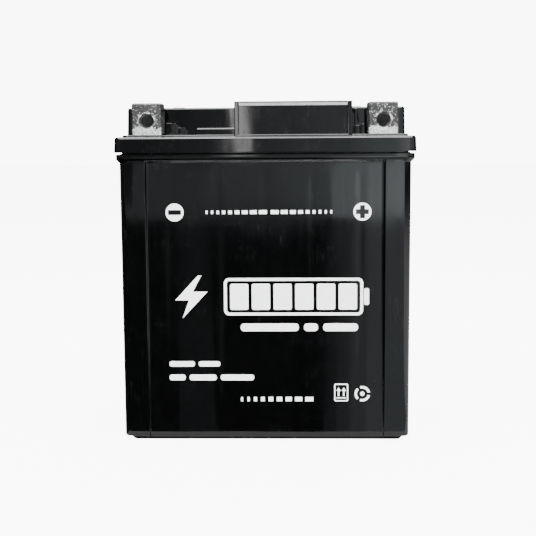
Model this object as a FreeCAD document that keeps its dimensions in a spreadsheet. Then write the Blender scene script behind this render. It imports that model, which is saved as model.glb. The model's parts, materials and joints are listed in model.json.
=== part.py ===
"""Sealed six-cell lead-acid motorcycle battery, 12 V, in the 114 x 71 x 130 mm size.

Frame: the origin is the middle of the base, +Z is up, and the front, with the two terminals, faces -Y.
The negative terminal is at the left (-X) and the positive one at the right (+X).
Six cells stand in a row along X. Cell 1 is at the negative end.
"""

import FreeCAD
import Part
import Sketcher
import math
import os
import re

DIMENSIONS = [
    # the outside
    ("overall_length", 114.0, "across the lid's skirt, at its lower edge"),
    ("overall_depth", 71.0, "across the lid's skirt, at its lower edge"),
    ("overall_height", 130.0, "base to the top of the vent cover"),
    # the case
    ("case_length", 110.0, "just below the rim"),
    ("case_depth", 69.4, "just below the rim, over the corner columns"),
    ("case_draft", 0.1, "degrees, on all four outer walls"),
    ("case_corner", 2.6, "radius of the upright corners"),
    ("case_top", 114.0, "where the walls and partitions meet the lid"),
    ("plinth_height", 1.9, "inset foot that the case stands on"),
    ("plinth_inset", 3.2, "from the walls to the plinth, at the base"),
    ("plinth_corner", 1.5, "radius of the plinth's upright corners"),
    ("plinth_slope", 35.0, "degrees, the lean of the plinth's sides"),
    ("ledge_round", 0.9, "round between the walls and the plinth"),
    ("rim_bottom", 108.4, "underside of the rim"),
    ("rim_height", 2.0, "upright face of the rim"),
    ("rim_length", 112.8, "rim, end to end"),
    ("rim_depth", 69.8, "rim, front to back"),
    ("rim_corner", 3.0, "radius of the rim's upright corners"),
    ("rim_chamfer", 1.2, "under the rim, at 45 degrees"),
    ("rim_slope", 45.0, "degrees, the lean of the rim's underside"),
    ("spigot_length", 108.2, "top of the case, inside the lid's skirt"),
    ("spigot_depth", 67.4, "top of the case, inside the lid's skirt"),
    ("spigot_corner", 2.0, "radius of its upright corners"),
    ("panel_width", 90.0, "recessed panel, front and back"),
    ("panel_recess", 1.0, "depth of the recessed panel"),
    # the cells
    ("cell_pitch", 18.0, "middle to middle of two partitions"),
    ("partition", 1.6, "thickness of a partition"),
    ("end_cell_width", 15.3, "the two end cells, inside"),
    ("cell_depth", 61.2, "every cell, front to back inside"),
    ("cell_floor", 2.5, "thickness of the floor"),
    ("cell_corner", 1.0, "radius of a cell's upright corners"),
    # the lid
    ("skirt_bottom", 111.1, "lower edge of the skirt"),
    ("flange_top", 116.9, "top of the flange"),
    ("skirt_draft", 3.0, "degrees, the skirt flares downwards"),
    ("skirt_corner", 3.0, "radius of the skirt's upright corners"),
    ("flange_round", 0.9, "round along the flange's top edge"),
    ("deck_inset", 3.0, "from the skirt to the deck"),
    ("deck_round", 0.3, "round along the deck's top edge"),
    ("deck_corner", 2.6, "radius of the deck's upright corners"),
    ("deck_top", 117.6, "deck that the terminals stand on"),
    ("platform_front", -20.0, "front wall of the raised platform"),
    ("platform_top", 128.2, "top of the raised platform"),
    ("platform_corner", 2.6, "radius of the platform's upright corners"),
    ("platform_draft", 1.5, "degrees, on the platform's walls"),
    ("top_round", 0.7, "round along the platform's top edge"),
    ("hollow_top", 123.7, "inside of the platform, over each cell"),
    ("hollow_front", -18.0, "inside of the platform, front"),
    ("hollow_back", 30.4, "inside of the platform, back"),
    ("skirt_gap", 0.2, "between the spigot and the skirt"),
    # filling ports and the strip of plugs that closes them
    ("port_row", 8.0, "the row of filling ports, behind the middle"),
    ("port_radius", 5.3, "bore of a filling port"),
    ("port_wall", 2.0, "wall of a filling tube"),
    ("strip_length", 103.0, "strip of plugs"),
    ("strip_depth", 17.0, "strip of plugs"),
    ("strip_corner", 3.0, "radius of the strip's corners"),
    ("strip_gap", 0.3, "between the strip and its groove"),
    ("groove_floor", 125.7, "the strip rests here"),
    ("strip_top", 128.5, "top of the strip"),
    ("strip_round", 0.6, "round along the strip's top edge"),
    ("boss_radius", 6.2, "low round pad over each plug"),
    ("boss_height", 0.35, "low round pad over each plug"),
    ("plug_radius", 5.0, "outside of a plug"),
    ("plug_bore", 3.6, "hollow inside of a plug"),
    ("plug_roof", 1.4, "solid top over a plug's hollow"),
    ("plug_length", 12.0, "below the strip"),
    ("seal_rib", 0.2, "how far a sealing rib stands out of a plug"),
    ("seal_rib_height", 0.8, "a sealing rib"),
    ("seal_rib_pitch", 3.0, "first rib below the strip, and from one rib to the next"),
    ("grip_width", 4.4, "finger grip, along the strip"),
    ("grip_depth", 12.0, "finger grip, across the strip"),
    ("grip_top", 129.1, "top of a finger grip"),
    # the vent block between the terminals
    ("block_left", -11.4, "left side of the vent block"),
    ("block_right", 32.8, "right side of the vent block"),
    ("block_front", -33.3, "front of the vent block"),
    ("block_overlap", 0.4, "how far the block runs into the platform"),
    ("block_rim", 1.0, "rim behind the vent cover"),
    ("block_round", 0.3, "round along the edges of the block's front"),
    ("cheek", 1.6, "the block's end walls, which frame the cover"),
    ("cover_bottom", 128.4, "underside of the vent cover"),
    ("cover_gap", 0.12, "between the vent cover and the cheeks"),
    ("cover_round", 0.35, "round along the vent cover's top edge"),
    ("face_recess", 0.7, "the block's front wall, behind its frame"),
    ("sill_height", 0.7, "ledge below the block's front wall"),
    ("chamber_front", -31.0, "gas chamber"),
    ("chamber_back", -21.8, "gas chamber"),
    ("chamber_floor", 118.6, "gas chamber"),
    ("chamber_wall", 2.2, "the gas chamber's end walls"),
    ("notch_left", -4.4, "left gas exit under the cover"),
    ("notch_right", 19.8, "right gas exit under the cover"),
    ("notch_end", 27.6, "gas exit beside the right cheek"),
    ("notch_width", 1.7, "a gas exit"),
    ("notch_height", 0.5, "a gas exit"),
    ("step_left", -25.5, "low step at the block's left"),
    ("step_top", 120.2, "low step at the block's left"),
    ("step_round", 0.6, "round along the low step's front edge"),
    ("barrier_front", -32.0, "upright ribs between the terminals and the block"),
    ("left_rib_place", -36.05, "middle of the thick left rib"),
    ("left_rib_width", 2.1, "thick left rib"),
    ("left_rib_top", 122.1, "thick left rib"),
    ("left_fin_place", -32.05, "middle of the thin left rib"),
    ("left_fin_width", 1.1, "thin left rib"),
    ("left_fin_top", 120.4, "thin left rib"),
    ("right_rib_place", 34.8, "middle of the thick right rib"),
    ("right_rib_width", 1.6, "thick right rib"),
    ("right_rib_top", 120.9, "thick right rib"),
    ("right_fin_place", 36.9, "middle of the thin right rib"),
    ("right_fin_width", 1.0, "thin right rib"),
    ("right_fin_top", 121.4, "thin right rib"),
    ("wall_rib_width", 0.9, "rib up the platform's front wall, over the thick right rib"),
    ("wall_rib_depth", 0.9, "rib up the platform's front wall"),
    ("gallery_radius", 1.0, "gas passage through the lid's ribs"),
    ("gallery_height", 122.0, "gas passage through the lid's ribs"),
    ("gallery_row", 25.5, "gas passage through the lid's ribs"),
    # the safety valve
    ("valve_row", -26.4, "middle of the gas chamber"),
    ("nozzle_radius", 2.2, "outside of the valve's seat tube"),
    ("nozzle_bore", 1.2, "gas hole"),
    ("nozzle_top", 123.0, "the valve seals here"),
    ("valve_radius", 3.4, "rubber cap"),
    ("valve_wall", 1.05, "skirt of the rubber cap"),
    ("valve_bottom", 118.9, "rubber cap, lower edge"),
    ("valve_roof", 1.1, "rubber cap, top"),
    ("arrestor_radius", 3.6, "porous disc"),
    ("arrestor_height", 2.0, "porous disc"),
    ("holder_wall", 0.8, "ring under the vent cover"),
    ("holder_bottom", 125.2, "ring under the vent cover"),
    # the terminals
    ("terminal_offset", 44.5, "middle of a terminal, from the battery's middle"),
    ("terminal_width", 11.2, "a terminal, across"),
    ("terminal_front", -32.5, "a terminal's front face"),
    ("terminal_back", -21.0, "a terminal's back face"),
    ("terminal_top", 129.6, "a terminal's top face"),
    ("terminal_round", 0.7, "round along a terminal's edges"),
    ("front_wall", 1.8, "a terminal's front wall"),
    ("back_wall", 1.5, "a terminal's back wall"),
    ("top_wall", 2.4, "a terminal's top wall"),
    ("base_wall", 1.1, "a terminal's floor"),
    ("bolt_hole", 2.75, "radius, clears an M5 bolt"),
    ("bolt_height", 122.8, "middle of the front bolt hole"),
    ("nut_side", 8.0, "M5 square nut, across flats"),
    ("nut_height", 4.0, "M5 square nut, thickness"),
    ("nut_bore", 2.1, "radius of the M5 thread's crests"),
    ("nut_chamfer", 0.5, "round the nut's bore"),
    ("nut_gap", 0.05, "between the nut and the front wall"),
    # the poles and their seals
    ("pole_radius", 3.25, "lead pole"),
    ("pole_clearance", 0.1, "round a pole"),
    ("ring_seat_radius", 5.4, "counterbore for the rubber ring"),
    ("ring_seat_depth", 2.4, "counterbore for the rubber ring"),
    ("ring_section", 0.8, "radius of the rubber ring's section"),
    ("resin_height", 0.7, "resin over the rubber ring"),
    # plates, separators and straps
    ("plate_width", 58.6, "front to back"),
    ("plate_bottom", 3.5, "lower edge of the plates"),
    ("plate_top", 88.0, "upper edge of the plates"),
    ("negative_plate", 1.4, "thickness"),
    ("positive_plate", 1.8, "thickness"),
    ("separator", 0.65, "thickness of the glass mat"),
    ("separator_width", 60.0, "front to back"),
    ("separator_top", 90.5, "upper edge of the glass mat"),
    ("lug_offset", 22.0, "middle of a plate's lug"),
    ("lug_width", 10.0, "a plate's lug"),
    ("strap_bottom", 92.0, "the lugs end here"),
    ("strap_height", 4.0, "a strap"),
    ("strap_width", 12.0, "a strap, front to back"),
    ("strap_gap", 0.4, "between a strap and its cell's sides"),
    ("strap_reach", 30.2, "how far the end straps reach forward, under the poles"),
    ("tab_width", 9.0, "a strap's upright tab, front to back"),
    ("tab_thickness", 2.6, "a strap's upright tab"),
    ("tab_top", 106.5, "a strap's upright tab"),
    ("weld_radius", 3.5, "hole through a partition"),
    ("weld_height", 101.5, "hole through a partition"),
    ("weld_gap", 0.05, "round the lead in that hole"),
]
ALIASES = {name for name, _, _ in DIMENSIONS}
CELLS = (1, 2, 3, 4, 5, 6)
PARTITIONS = (1, 2, 3, 4, 5)

# sizes that several pieces share, worked out from the sheet
TERMINAL_ROW = "(terminal_front + terminal_back) / 2"
VALVE_PLACE = "cell_pitch / 2"
PLATE_STEP = "(negative_plate + positive_plate + 2 * separator)"
STACK = f"(3 * {PLATE_STEP} + negative_plate)"
COVER_BACK = "(platform_front + block_overlap - block_rim)"

doc = FreeCAD.newDocument("battery")
sheet = doc.addObject("Spreadsheet::Sheet", "dims")
pieces = []


def fill_sheet():
    """One row for each driving dimension: what it is, then its value, under its alias."""
    for row, (alias, value, meaning) in enumerate(DIMENSIONS, start=1):
        sheet.set(f"A{row}", meaning)
        sheet.set(f"B{row}", str(value))
        sheet.setAlias(f"B{row}", alias)
    doc.recompute()


def bound(text):
    """An expression over the aliases, as the document's other objects write it."""
    return re.sub(
        r"[a-z][a-z_]*",
        lambda word: f"dims.{word.group()}" if word.group() in ALIASES else word.group(),
        str(text),
    )


def value_of(text):
    """The value, in millimetres or degrees, of an expression over the aliases."""
    result = sheet.evalExpression(str(text))
    return float(getattr(result, "Value", result))


def new_piece(kind, label):
    """A sub-part of the battery. It is written to a file named after its label."""
    piece = doc.addObject(kind, label)
    piece.Label = label
    pieces.append(piece)
    return piece


def new_body(label):
    return new_piece("PartDesign::Body", label)


def move(thing, x="0", y="0", z="0"):
    """Binds the Placement of a body or a primitive."""
    thing.setExpression("Placement.Base.x", bound(x))
    thing.setExpression("Placement.Base.y", bound(y))
    thing.setExpression("Placement.Base.z", bound(z))


def origin_feature(body, role):
    return next(f for f in body.Origin.OriginFeatures if f.Role == role)


def sketch_on(body, plane, offset):
    """A sketch on one of the body's own origin planes, moved along that plane's normal."""
    sketch = body.newObject("Sketcher::SketchObject", "Sketch")
    sketch.AttachmentSupport = [(origin_feature(body, plane), "")]
    sketch.MapMode = "FlatFace"
    sketch.setExpression("AttachmentOffset.Base.z", bound(offset))
    return sketch


def level_sketch(body, height):
    """Sketch X is +X and sketch Y is +Y. A pad goes up and a pocket cuts down."""
    return sketch_on(body, "XY_Plane", height)


def front_sketch(body, place):
    """Sketch X is +X and sketch Y is +Z. A pad goes to -Y and a pocket cuts to +Y."""
    return sketch_on(body, "XZ_Plane", f"-({place})")


def side_sketch(body, place):
    """Sketch X is +Y and sketch Y is +Z. A pad goes to +X and a pocket cuts to -X."""
    return sketch_on(body, "YZ_Plane", place)


def constrain(sketch, kind, *arguments, value):
    """A constraint with a size, bound to an expression."""
    index = sketch.addConstraint(Sketcher.Constraint(kind, *arguments, value_of(value)))
    sketch.setExpression(f"Constraints[{index}]", bound(value))


def polygon(sketch, corners):
    """A closed outline of straight edges through (x, y) corners, each an expression."""
    points = [FreeCAD.Vector(value_of(x), value_of(y), 0) for x, y in corners]
    first = sketch.GeometryCount
    count = len(points)
    for i in range(count):
        sketch.addGeometry(Part.LineSegment(points[i], points[(i + 1) % count]), False)
    for i in range(count):
        following = first + (i + 1) % count
        sketch.addConstraint(Sketcher.Constraint("Coincident", first + i, 2, following, 1))
    for i, (x, y) in enumerate(corners):
        constrain(sketch, "DistanceX", -1, 1, first + i, 1, value=x)
        constrain(sketch, "DistanceY", -1, 1, first + i, 1, value=y)


def rectangle(sketch, left, right, low, high):
    polygon(sketch, [(left, low), (right, low), (right, high), (left, high)])


def rounded_rectangle(sketch, left, right, low, high, radius):
    """Four lines and four quarter arcs that meet smoothly."""
    west, east, south, north, r = (value_of(v) for v in (left, right, low, high, radius))
    up = FreeCAD.Vector(0, 0, 1)
    first = sketch.GeometryCount
    lines = [
        ((west + r, south), (east - r, south)),
        ((east, south + r), (east, north - r)),
        ((east - r, north), (west + r, north)),
        ((west, north - r), (west, south + r)),
    ]
    centres = [(east - r, south + r), (east - r, north - r), (west + r, north - r), (west + r, south + r)]
    for side in range(4):
        start, end = (FreeCAD.Vector(x, y, 0) for x, y in lines[side])
        sketch.addGeometry(Part.LineSegment(start, end), False)
        quarter = Part.Circle(FreeCAD.Vector(*centres[side], 0), up, r)
        begin = (side - 1) * math.pi / 2
        sketch.addGeometry(Part.ArcOfCircle(quarter, begin, begin + math.pi / 2), False)
    for side in range(4):
        line = first + 2 * side
        arc = line + 1
        following = first + (2 * side + 2) % 8
        sketch.addConstraint(Sketcher.Constraint("Tangent", line, 2, arc, 1))
        sketch.addConstraint(Sketcher.Constraint("Tangent", arc, 2, following, 1))
        sketch.addConstraint(Sketcher.Constraint("Vertical" if side % 2 else "Horizontal", line))
        constrain(sketch, "Radius", arc, value=radius)
    for kind, line, place in (
        ("DistanceY", first, low),
        ("DistanceX", first + 2, right),
        ("DistanceY", first + 4, high),
        ("DistanceX", first + 6, left),
    ):
        constrain(sketch, kind, -1, 1, line, 1, value=place)


def circle(sketch, x, y, radius):
    centre = FreeCAD.Vector(value_of(x), value_of(y), 0)
    index = sketch.addGeometry(Part.Circle(centre, FreeCAD.Vector(0, 0, 1), value_of(radius)), False)
    constrain(sketch, "DistanceX", -1, 1, index, 3, value=x)
    constrain(sketch, "DistanceY", -1, 1, index, 3, value=y)
    constrain(sketch, "Radius", index, value=radius)


def finish_feature(body, feature, grows=None):
    """Recomputes, and stops if the feature failed or changed the body the wrong way."""
    doc.recompute()
    before = 0.0 if feature.BaseFeature is None else feature.BaseFeature.Shape.Volume
    name = f"{body.Label}: {feature.Name}"
    if "Invalid" in feature.State or "Error" in feature.State or feature.Shape.isNull():
        raise RuntimeError(f"{name} failed: {feature.getStatusString()}")
    after = feature.Shape.Volume
    if grows is True and after <= before:
        raise RuntimeError(f"{name} added nothing")
    if grows is False and after >= before:
        raise RuntimeError(f"{name} cut nothing")
    return feature


def extrude(body, kind, sketch, length, taper, down):
    feature = body.newObject(f"PartDesign::{kind}", kind)
    feature.Profile = sketch
    feature.setExpression("Length", bound(length))
    feature.Reversed = down
    if taper is not None:
        feature.setExpression("TaperAngle", bound(taper))
    return finish_feature(body, feature, grows=kind == "Pad")


def pad(body, sketch, length, taper=None, down=False):
    """Adds material along the sketch's normal, or the other way when down is set."""
    return extrude(body, "Pad", sketch, length, taper, down)


def pocket(body, sketch, length):
    """Cuts material away, against the sketch's normal."""
    return extrude(body, "Pocket", sketch, length, None, False)


def dress(body, kind, size, test):
    """A Fillet or a Chamfer on the tip's edges whose bounding boxes pass the test."""
    base = body.Tip
    names = [f"Edge{i}" for i, edge in enumerate(base.Shape.Edges, start=1) if test(edge.BoundBox)]
    feature = body.newObject(f"PartDesign::{kind}", kind)
    feature.Base = (base, names)
    feature.setExpression("Radius" if kind == "Fillet" else "Size", bound(size))
    return finish_feature(body, feature)


def same(one, other):
    """True for two lengths that agree to a hundredth of a millimetre."""
    return abs(one - other) < 0.01


def at_height(place):
    """A test for the edges that lie at one height."""
    height = value_of(place)
    return lambda box: same(box.ZMin, height) and same(box.ZMax, height)


def on_step_front(box):
    """True for the low step's upper front edge."""
    return at_height("step_top")(box) and same(box.YMax, value_of("barrier_front"))


def on_front_frame(box):
    """True for the edges on the vent block's foremost plane, apart from the one on the flange."""
    front = value_of("block_front")
    return same(box.YMin, front) and same(box.YMax, front) and box.ZMax > value_of("flange_top") + 0.1


def repeat_along_x(body, features, length, count):
    """Copies of the features along X, evenly spread over a length."""
    pattern = body.newObject("PartDesign::LinearPattern", "LinearPattern")
    pattern.Originals = features
    pattern.Direction = (origin_feature(body, "X_Axis"), [""])
    pattern.Occurrences = count
    pattern.setExpression("Length", bound(length))
    body.Tip = pattern
    return finish_feature(body, pattern)


def cell_width(cell):
    return "end_cell_width" if cell in (1, 6) else "(cell_pitch - partition)"


def cell_sides(cell):
    """(left, right) inner sides of a cell. The partitions stand one pitch apart."""
    outer = "(2 * cell_pitch + partition / 2)"
    if cell == 1:
        return f"-({outer} + end_cell_width)", f"-{outer}"
    if cell == 6:
        return outer, f"({outer} + end_cell_width)"
    return f"(({cell - 4}) * cell_pitch + partition / 2)", f"(({cell - 3}) * cell_pitch - partition / 2)"


def cell_middle(cell):
    left, right = cell_sides(cell)
    return f"({left} + {right}) / 2"


def port_place(cell):
    """The filling ports stand one pitch apart, also over the narrower end cells."""
    return f"(({cell - 3.5}) * cell_pitch)"


def partition_place(partition):
    """Partition n stands between cells n and n + 1."""
    return f"(({partition - 3}) * cell_pitch)"


def positive_side(cell):
    """1 where a cell's positive strap is at the back, and -1 where it is at the front."""
    return 1 if cell % 2 else -1


def build_case():
    """The container: drafted walls, plinth, rim, five partitions, and a recessed panel on the
    front and the back."""
    body = new_body("case")
    add_walls(body)
    cut_panels(body)
    add_rim(body)
    cells = level_sketch(body, "case_top")
    for cell in CELLS:
        left, right = cell_sides(cell)
        rounded_rectangle(cells, left, right, "-cell_depth / 2", "cell_depth / 2", "cell_corner")
    pocket(body, cells, "case_top - cell_floor")
    for partition in PARTITIONS:
        side = positive_side(partition)
        hole = side_sketch(body, f"{partition_place(partition)} + partition / 2")
        circle(hole, f"{side} * lug_offset", "weld_height", "weld_radius")
        pocket(body, hole, "partition")


def add_walls(body):
    """The walls lean in towards the base, and end on a narrower plinth."""
    walls = level_sketch(body, "rim_bottom")
    rounded_rectangle(
        walls, "-case_length / 2", "case_length / 2", "-case_depth / 2", "case_depth / 2", "case_corner"
    )
    pad(body, walls, "rim_bottom - plinth_height", "-case_draft", down=True)
    dress(body, "Fillet", "ledge_round", at_height("plinth_height"))
    inset = "(tan(case_draft) * (rim_bottom - plinth_height) + plinth_inset)"
    length, depth = f"(case_length / 2 - {inset})", f"(case_depth / 2 - {inset})"
    plinth = level_sketch(body, "0")
    rounded_rectangle(plinth, f"-{length}", length, f"-{depth}", depth, "plinth_corner")
    pad(body, plinth, "plinth_height", "plinth_slope")


def cut_panels(body):
    """The panel's floor leans with the wall, so its sketch does too."""
    panel = front_sketch(body, "-case_depth / 2")
    panel.setExpression("AttachmentOffset.Base.y", bound("rim_bottom"))
    panel.setExpression("AttachmentOffset.Rotation.Axis.x", "1")
    panel.setExpression("AttachmentOffset.Rotation.Axis.z", "0")
    panel.setExpression("AttachmentOffset.Rotation.Angle", bound("case_draft"))
    rectangle(panel, "-panel_width / 2", "panel_width / 2", "-rim_bottom", "0")
    cut = pocket(body, panel, "panel_recess")
    mirrored = body.newObject("PartDesign::Mirrored", "Mirrored")
    mirrored.Originals = [cut]
    mirrored.MirrorPlane = (origin_feature(body, "XZ_Plane"), [""])
    body.Tip = mirrored
    finish_feature(body, mirrored, grows=False)


def add_rim(body):
    """The rim overhangs the walls, sloped below, and the spigot above it enters the lid."""
    half_length, half_depth = "(rim_length / 2)", "(rim_depth / 2)"
    slope = level_sketch(body, "rim_bottom")
    rounded_rectangle(slope, f"-{half_length}", half_length, f"-{half_depth}", half_depth, "rim_corner")
    pad(body, slope, "rim_chamfer", "-rim_slope", down=True)
    rim = level_sketch(body, "rim_bottom")
    rounded_rectangle(rim, f"-{half_length}", half_length, f"-{half_depth}", half_depth, "rim_corner")
    pad(body, rim, "rim_height")
    half_length, half_depth = "(spigot_length / 2)", "(spigot_depth / 2)"
    spigot = level_sketch(body, "rim_bottom + rim_height")
    rounded_rectangle(spigot, f"-{half_length}", half_length, f"-{half_depth}", half_depth, "spigot_corner")
    pad(body, spigot, "case_top - rim_bottom - rim_height")


def build_lid():
    """The heat-sealed lid: a skirted flange, a deck for the terminals, a raised platform with
    the filling ports, and the vent block between the terminals."""
    body = new_body("lid")
    add_lid_steps(body)
    add_vent_block(body)
    add_barriers(body)
    cut_lid_hollows(body)
    cut_ports(body)
    cut_vent_block(body)
    poles = level_sketch(body, "deck_top")
    seats = level_sketch(body, "deck_top")
    for side in (-1, 1):
        circle(poles, f"{side} * terminal_offset", TERMINAL_ROW, "pole_radius + pole_clearance")
        circle(seats, f"{side} * terminal_offset", TERMINAL_ROW, "ring_seat_radius")
    pocket(body, poles, "deck_top - case_top")
    pocket(body, seats, "ring_seat_depth")


def add_lid_steps(body):
    half_length, half_depth = "(overall_length / 2)", "(overall_depth / 2)"
    skirt = level_sketch(body, "skirt_bottom")
    rounded_rectangle(skirt, f"-{half_length}", half_length, f"-{half_depth}", half_depth, "skirt_corner")
    pad(body, skirt, "flange_top - skirt_bottom", "-skirt_draft")
    dress(body, "Fillet", "flange_round", at_height("flange_top"))
    half_length, half_depth = "(overall_length / 2 - deck_inset)", "(overall_depth / 2 - deck_inset)"
    deck = level_sketch(body, "flange_top")
    rounded_rectangle(deck, f"-{half_length}", half_length, f"-{half_depth}", half_depth, "deck_corner")
    pad(body, deck, "deck_top - flange_top")
    dress(body, "Fillet", "deck_round", at_height("deck_top"))
    platform = level_sketch(body, "deck_top")
    rounded_rectangle(
        platform, f"-{half_length}", half_length, "platform_front", half_depth, "platform_corner"
    )
    pad(body, platform, "platform_top - deck_top", "-platform_draft")
    dress(body, "Fillet", "top_round", at_height("platform_top"))


def add_vent_block(body):
    block = level_sketch(body, "flange_top")
    rectangle(block, "block_left", "block_right", "block_front", "platform_front + block_overlap")
    pad(body, block, "overall_height - flange_top")


def add_barriers(body):
    """A low step and four upright ribs stand on the deck, beside the vent block."""
    step = level_sketch(body, "deck_top")
    rectangle(step, "step_left", "block_left", "barrier_front", "platform_front")
    pad(body, step, "step_top - deck_top")
    dress(body, "Fillet", "step_round", on_step_front)
    for name in ("left_rib", "left_fin", "right_rib", "right_fin"):
        rib = level_sketch(body, "deck_top")
        left, right = f"{name}_place - {name}_width / 2", f"{name}_place + {name}_width / 2"
        rectangle(rib, left, right, "barrier_front", "platform_front + block_overlap")
        pad(body, rib, f"{name}_top - deck_top")
    wall_rib = level_sketch(body, "deck_top")
    left, right = "right_rib_place - wall_rib_width / 2", "right_rib_place + wall_rib_width / 2"
    rectangle(wall_rib, left, right, "platform_front - wall_rib_depth", "platform_front + block_overlap")
    pad(body, wall_rib, "platform_top - top_round - deck_top")


def cut_lid_hollows(body):
    """The skirt's inside, and over each cell a hollow from which a filling tube hangs. A gas
    passage joins the six hollows."""
    half_length, half_depth = "(spigot_length / 2 + skirt_gap)", "(spigot_depth / 2 + skirt_gap)"
    inside = level_sketch(body, "case_top")
    rounded_rectangle(inside, f"-{half_length}", half_length, f"-{half_depth}", half_depth, "spigot_corner")
    pocket(body, inside, "case_top - skirt_bottom")
    hollows = level_sketch(body, "hollow_top")
    for cell in CELLS:
        left, right = cell_sides(cell)
        rounded_rectangle(hollows, left, right, "hollow_front", "hollow_back", "cell_corner")
    pocket(body, hollows, "hollow_top - case_top")
    tubes = level_sketch(body, "hollow_top")
    for cell in CELLS:
        circle(tubes, port_place(cell), "port_row", "port_radius + port_wall")
    pad(body, tubes, "hollow_top - case_top", down=True)
    gallery = side_sketch(body, port_place(6))
    circle(gallery, "gallery_row", "gallery_height", "gallery_radius")
    pocket(body, gallery, "5 * cell_pitch")


def cut_ports(body):
    """The groove for the strip of plugs, and the six ports in its floor."""
    half_length, half_depth = "(strip_length / 2 + strip_gap)", "(strip_depth / 2 + strip_gap)"
    front, back = f"port_row - {half_depth}", f"port_row + {half_depth}"
    groove = level_sketch(body, "platform_top")
    rounded_rectangle(groove, f"-{half_length}", half_length, front, back, "strip_corner + strip_gap")
    pocket(body, groove, "platform_top - groove_floor")
    ports = level_sketch(body, "groove_floor")
    for cell in CELLS:
        circle(ports, port_place(cell), "port_row", "port_radius")
    pocket(body, ports, "groove_floor - case_top")


def cut_vent_block(body):
    """The cover's seat, the framed front wall, the gas chamber and the valve's seat tube."""
    left, right = "block_left + cheek", "block_right - cheek"
    seat = level_sketch(body, "overall_height")
    rectangle(seat, left, right, "block_front", COVER_BACK)
    pocket(body, seat, "overall_height - cover_bottom")
    face = front_sketch(body, "block_front")
    rectangle(face, left, right, "flange_top + sill_height", "cover_bottom")
    pocket(body, face, "face_recess")
    dress(body, "Fillet", "block_round", on_front_frame)
    left, right = "block_left + chamber_wall", "block_right - chamber_wall"
    chamber = level_sketch(body, "cover_bottom")
    rounded_rectangle(chamber, left, right, "chamber_front", "chamber_back", "cell_corner")
    pocket(body, chamber, "cover_bottom - chamber_floor")
    tube = level_sketch(body, "chamber_floor")
    circle(tube, VALVE_PLACE, "valve_row", "nozzle_radius")
    pad(body, tube, "nozzle_top - chamber_floor")
    bore = level_sketch(body, "nozzle_top")
    circle(bore, VALVE_PLACE, "valve_row", "nozzle_bore")
    pocket(body, bore, "nozzle_top - case_top")


def build_cap_strip():
    """Six sealing plugs on one bar, pressed into the ports together."""
    body = new_body("cap_strip")
    half_length, half_depth = "(strip_length / 2)", "(strip_depth / 2)"
    front, back = f"port_row - {half_depth}", f"port_row + {half_depth}"
    bar = level_sketch(body, "groove_floor")
    rounded_rectangle(bar, f"-{half_length}", half_length, front, back, "strip_corner")
    pad(body, bar, "strip_top - groove_floor")
    dress(body, "Fillet", "strip_round", at_height("strip_top"))
    add_to_each_plug(body, "strip_top", "boss_radius", "boss_height", down=False)
    add_to_each_plug(body, "groove_floor", "plug_radius", "plug_length", down=True)
    for rib in (1, 2):
        height = f"groove_floor - {rib} * seal_rib_pitch"
        add_to_each_plug(body, height, "plug_radius + seal_rib", "seal_rib_height", down=True)
    hollows = level_sketch(body, "strip_top - plug_roof")
    for cell in CELLS:
        circle(hollows, port_place(cell), "port_row", "plug_bore")
    pocket(body, hollows, "strip_top - plug_roof - groove_floor + plug_length")
    grips = level_sketch(body, "strip_top")
    for side in (-1, 1):
        middle = f"{side} * 2 * cell_pitch"
        rectangle(
            grips,
            f"{middle} - grip_width / 2",
            f"{middle} + grip_width / 2",
            "port_row - grip_depth / 2",
            "port_row + grip_depth / 2",
        )
    pad(body, grips, "grip_top - strip_top")


def add_to_each_plug(body, height, radius, length, down):
    discs = level_sketch(body, height)
    for cell in CELLS:
        circle(discs, port_place(cell), "port_row", radius)
    pad(body, discs, length, down=down)


def build_vent_cover():
    """The welded plate over the gas chamber. Gas leaves by three slots under its front edge, and
    a ring below it holds the flame arrestor."""
    body = new_body("vent_cover")
    plate = level_sketch(body, "cover_bottom")
    left, right = "block_left + cheek + cover_gap", "block_right - cheek - cover_gap"
    rectangle(plate, left, right, "block_front", f"{COVER_BACK} - cover_gap")
    pad(body, plate, "overall_height - cover_bottom")
    dress(body, "Fillet", "cover_round", at_height("overall_height"))
    ring = level_sketch(body, "cover_bottom")
    circle(ring, VALVE_PLACE, "valve_row", "arrestor_radius + holder_wall")
    circle(ring, VALVE_PLACE, "valve_row", "arrestor_radius")
    pad(body, ring, "cover_bottom - holder_bottom", down=True)
    slots = front_sketch(body, "block_front")
    for name in ("notch_left", "notch_right", "notch_end"):
        rectangle(slots, name, f"{name} + notch_width", "cover_bottom", "cover_bottom + notch_height")
    pocket(body, slots, "chamber_front - block_front + notch_width")


def build_vent_valve():
    """A rubber cap over the seat tube. Gas pressure lifts it."""
    body = new_body("vent_valve")
    profile = front_sketch(body, "0")
    inner = "valve_radius - valve_wall"
    top = "nozzle_top + valve_roof"
    polygon(
        profile,
        [
            (inner, "valve_bottom"),
            ("valve_radius", "valve_bottom"),
            ("valve_radius", top),
            ("0", top),
            ("0", "nozzle_top"),
            (inner, "nozzle_top"),
        ],
    )
    turned = body.newObject("PartDesign::Revolution", "Revolution")
    turned.Profile = profile
    turned.ReferenceAxis = (origin_feature(body, "Z_Axis"), [""])
    finish_feature(body, turned, grows=True)
    move(body, VALVE_PLACE, "valve_row")


def build_flame_arrestor():
    """A disc of porous ceramic in the vent cover's ring."""
    disc = new_piece("Part::Cylinder", "flame_arrestor")
    disc.setExpression("Radius", bound("arrestor_radius"))
    disc.setExpression("Height", bound("arrestor_height"))
    move(disc, VALVE_PLACE, "valve_row", "cover_bottom - arrestor_height")


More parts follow.
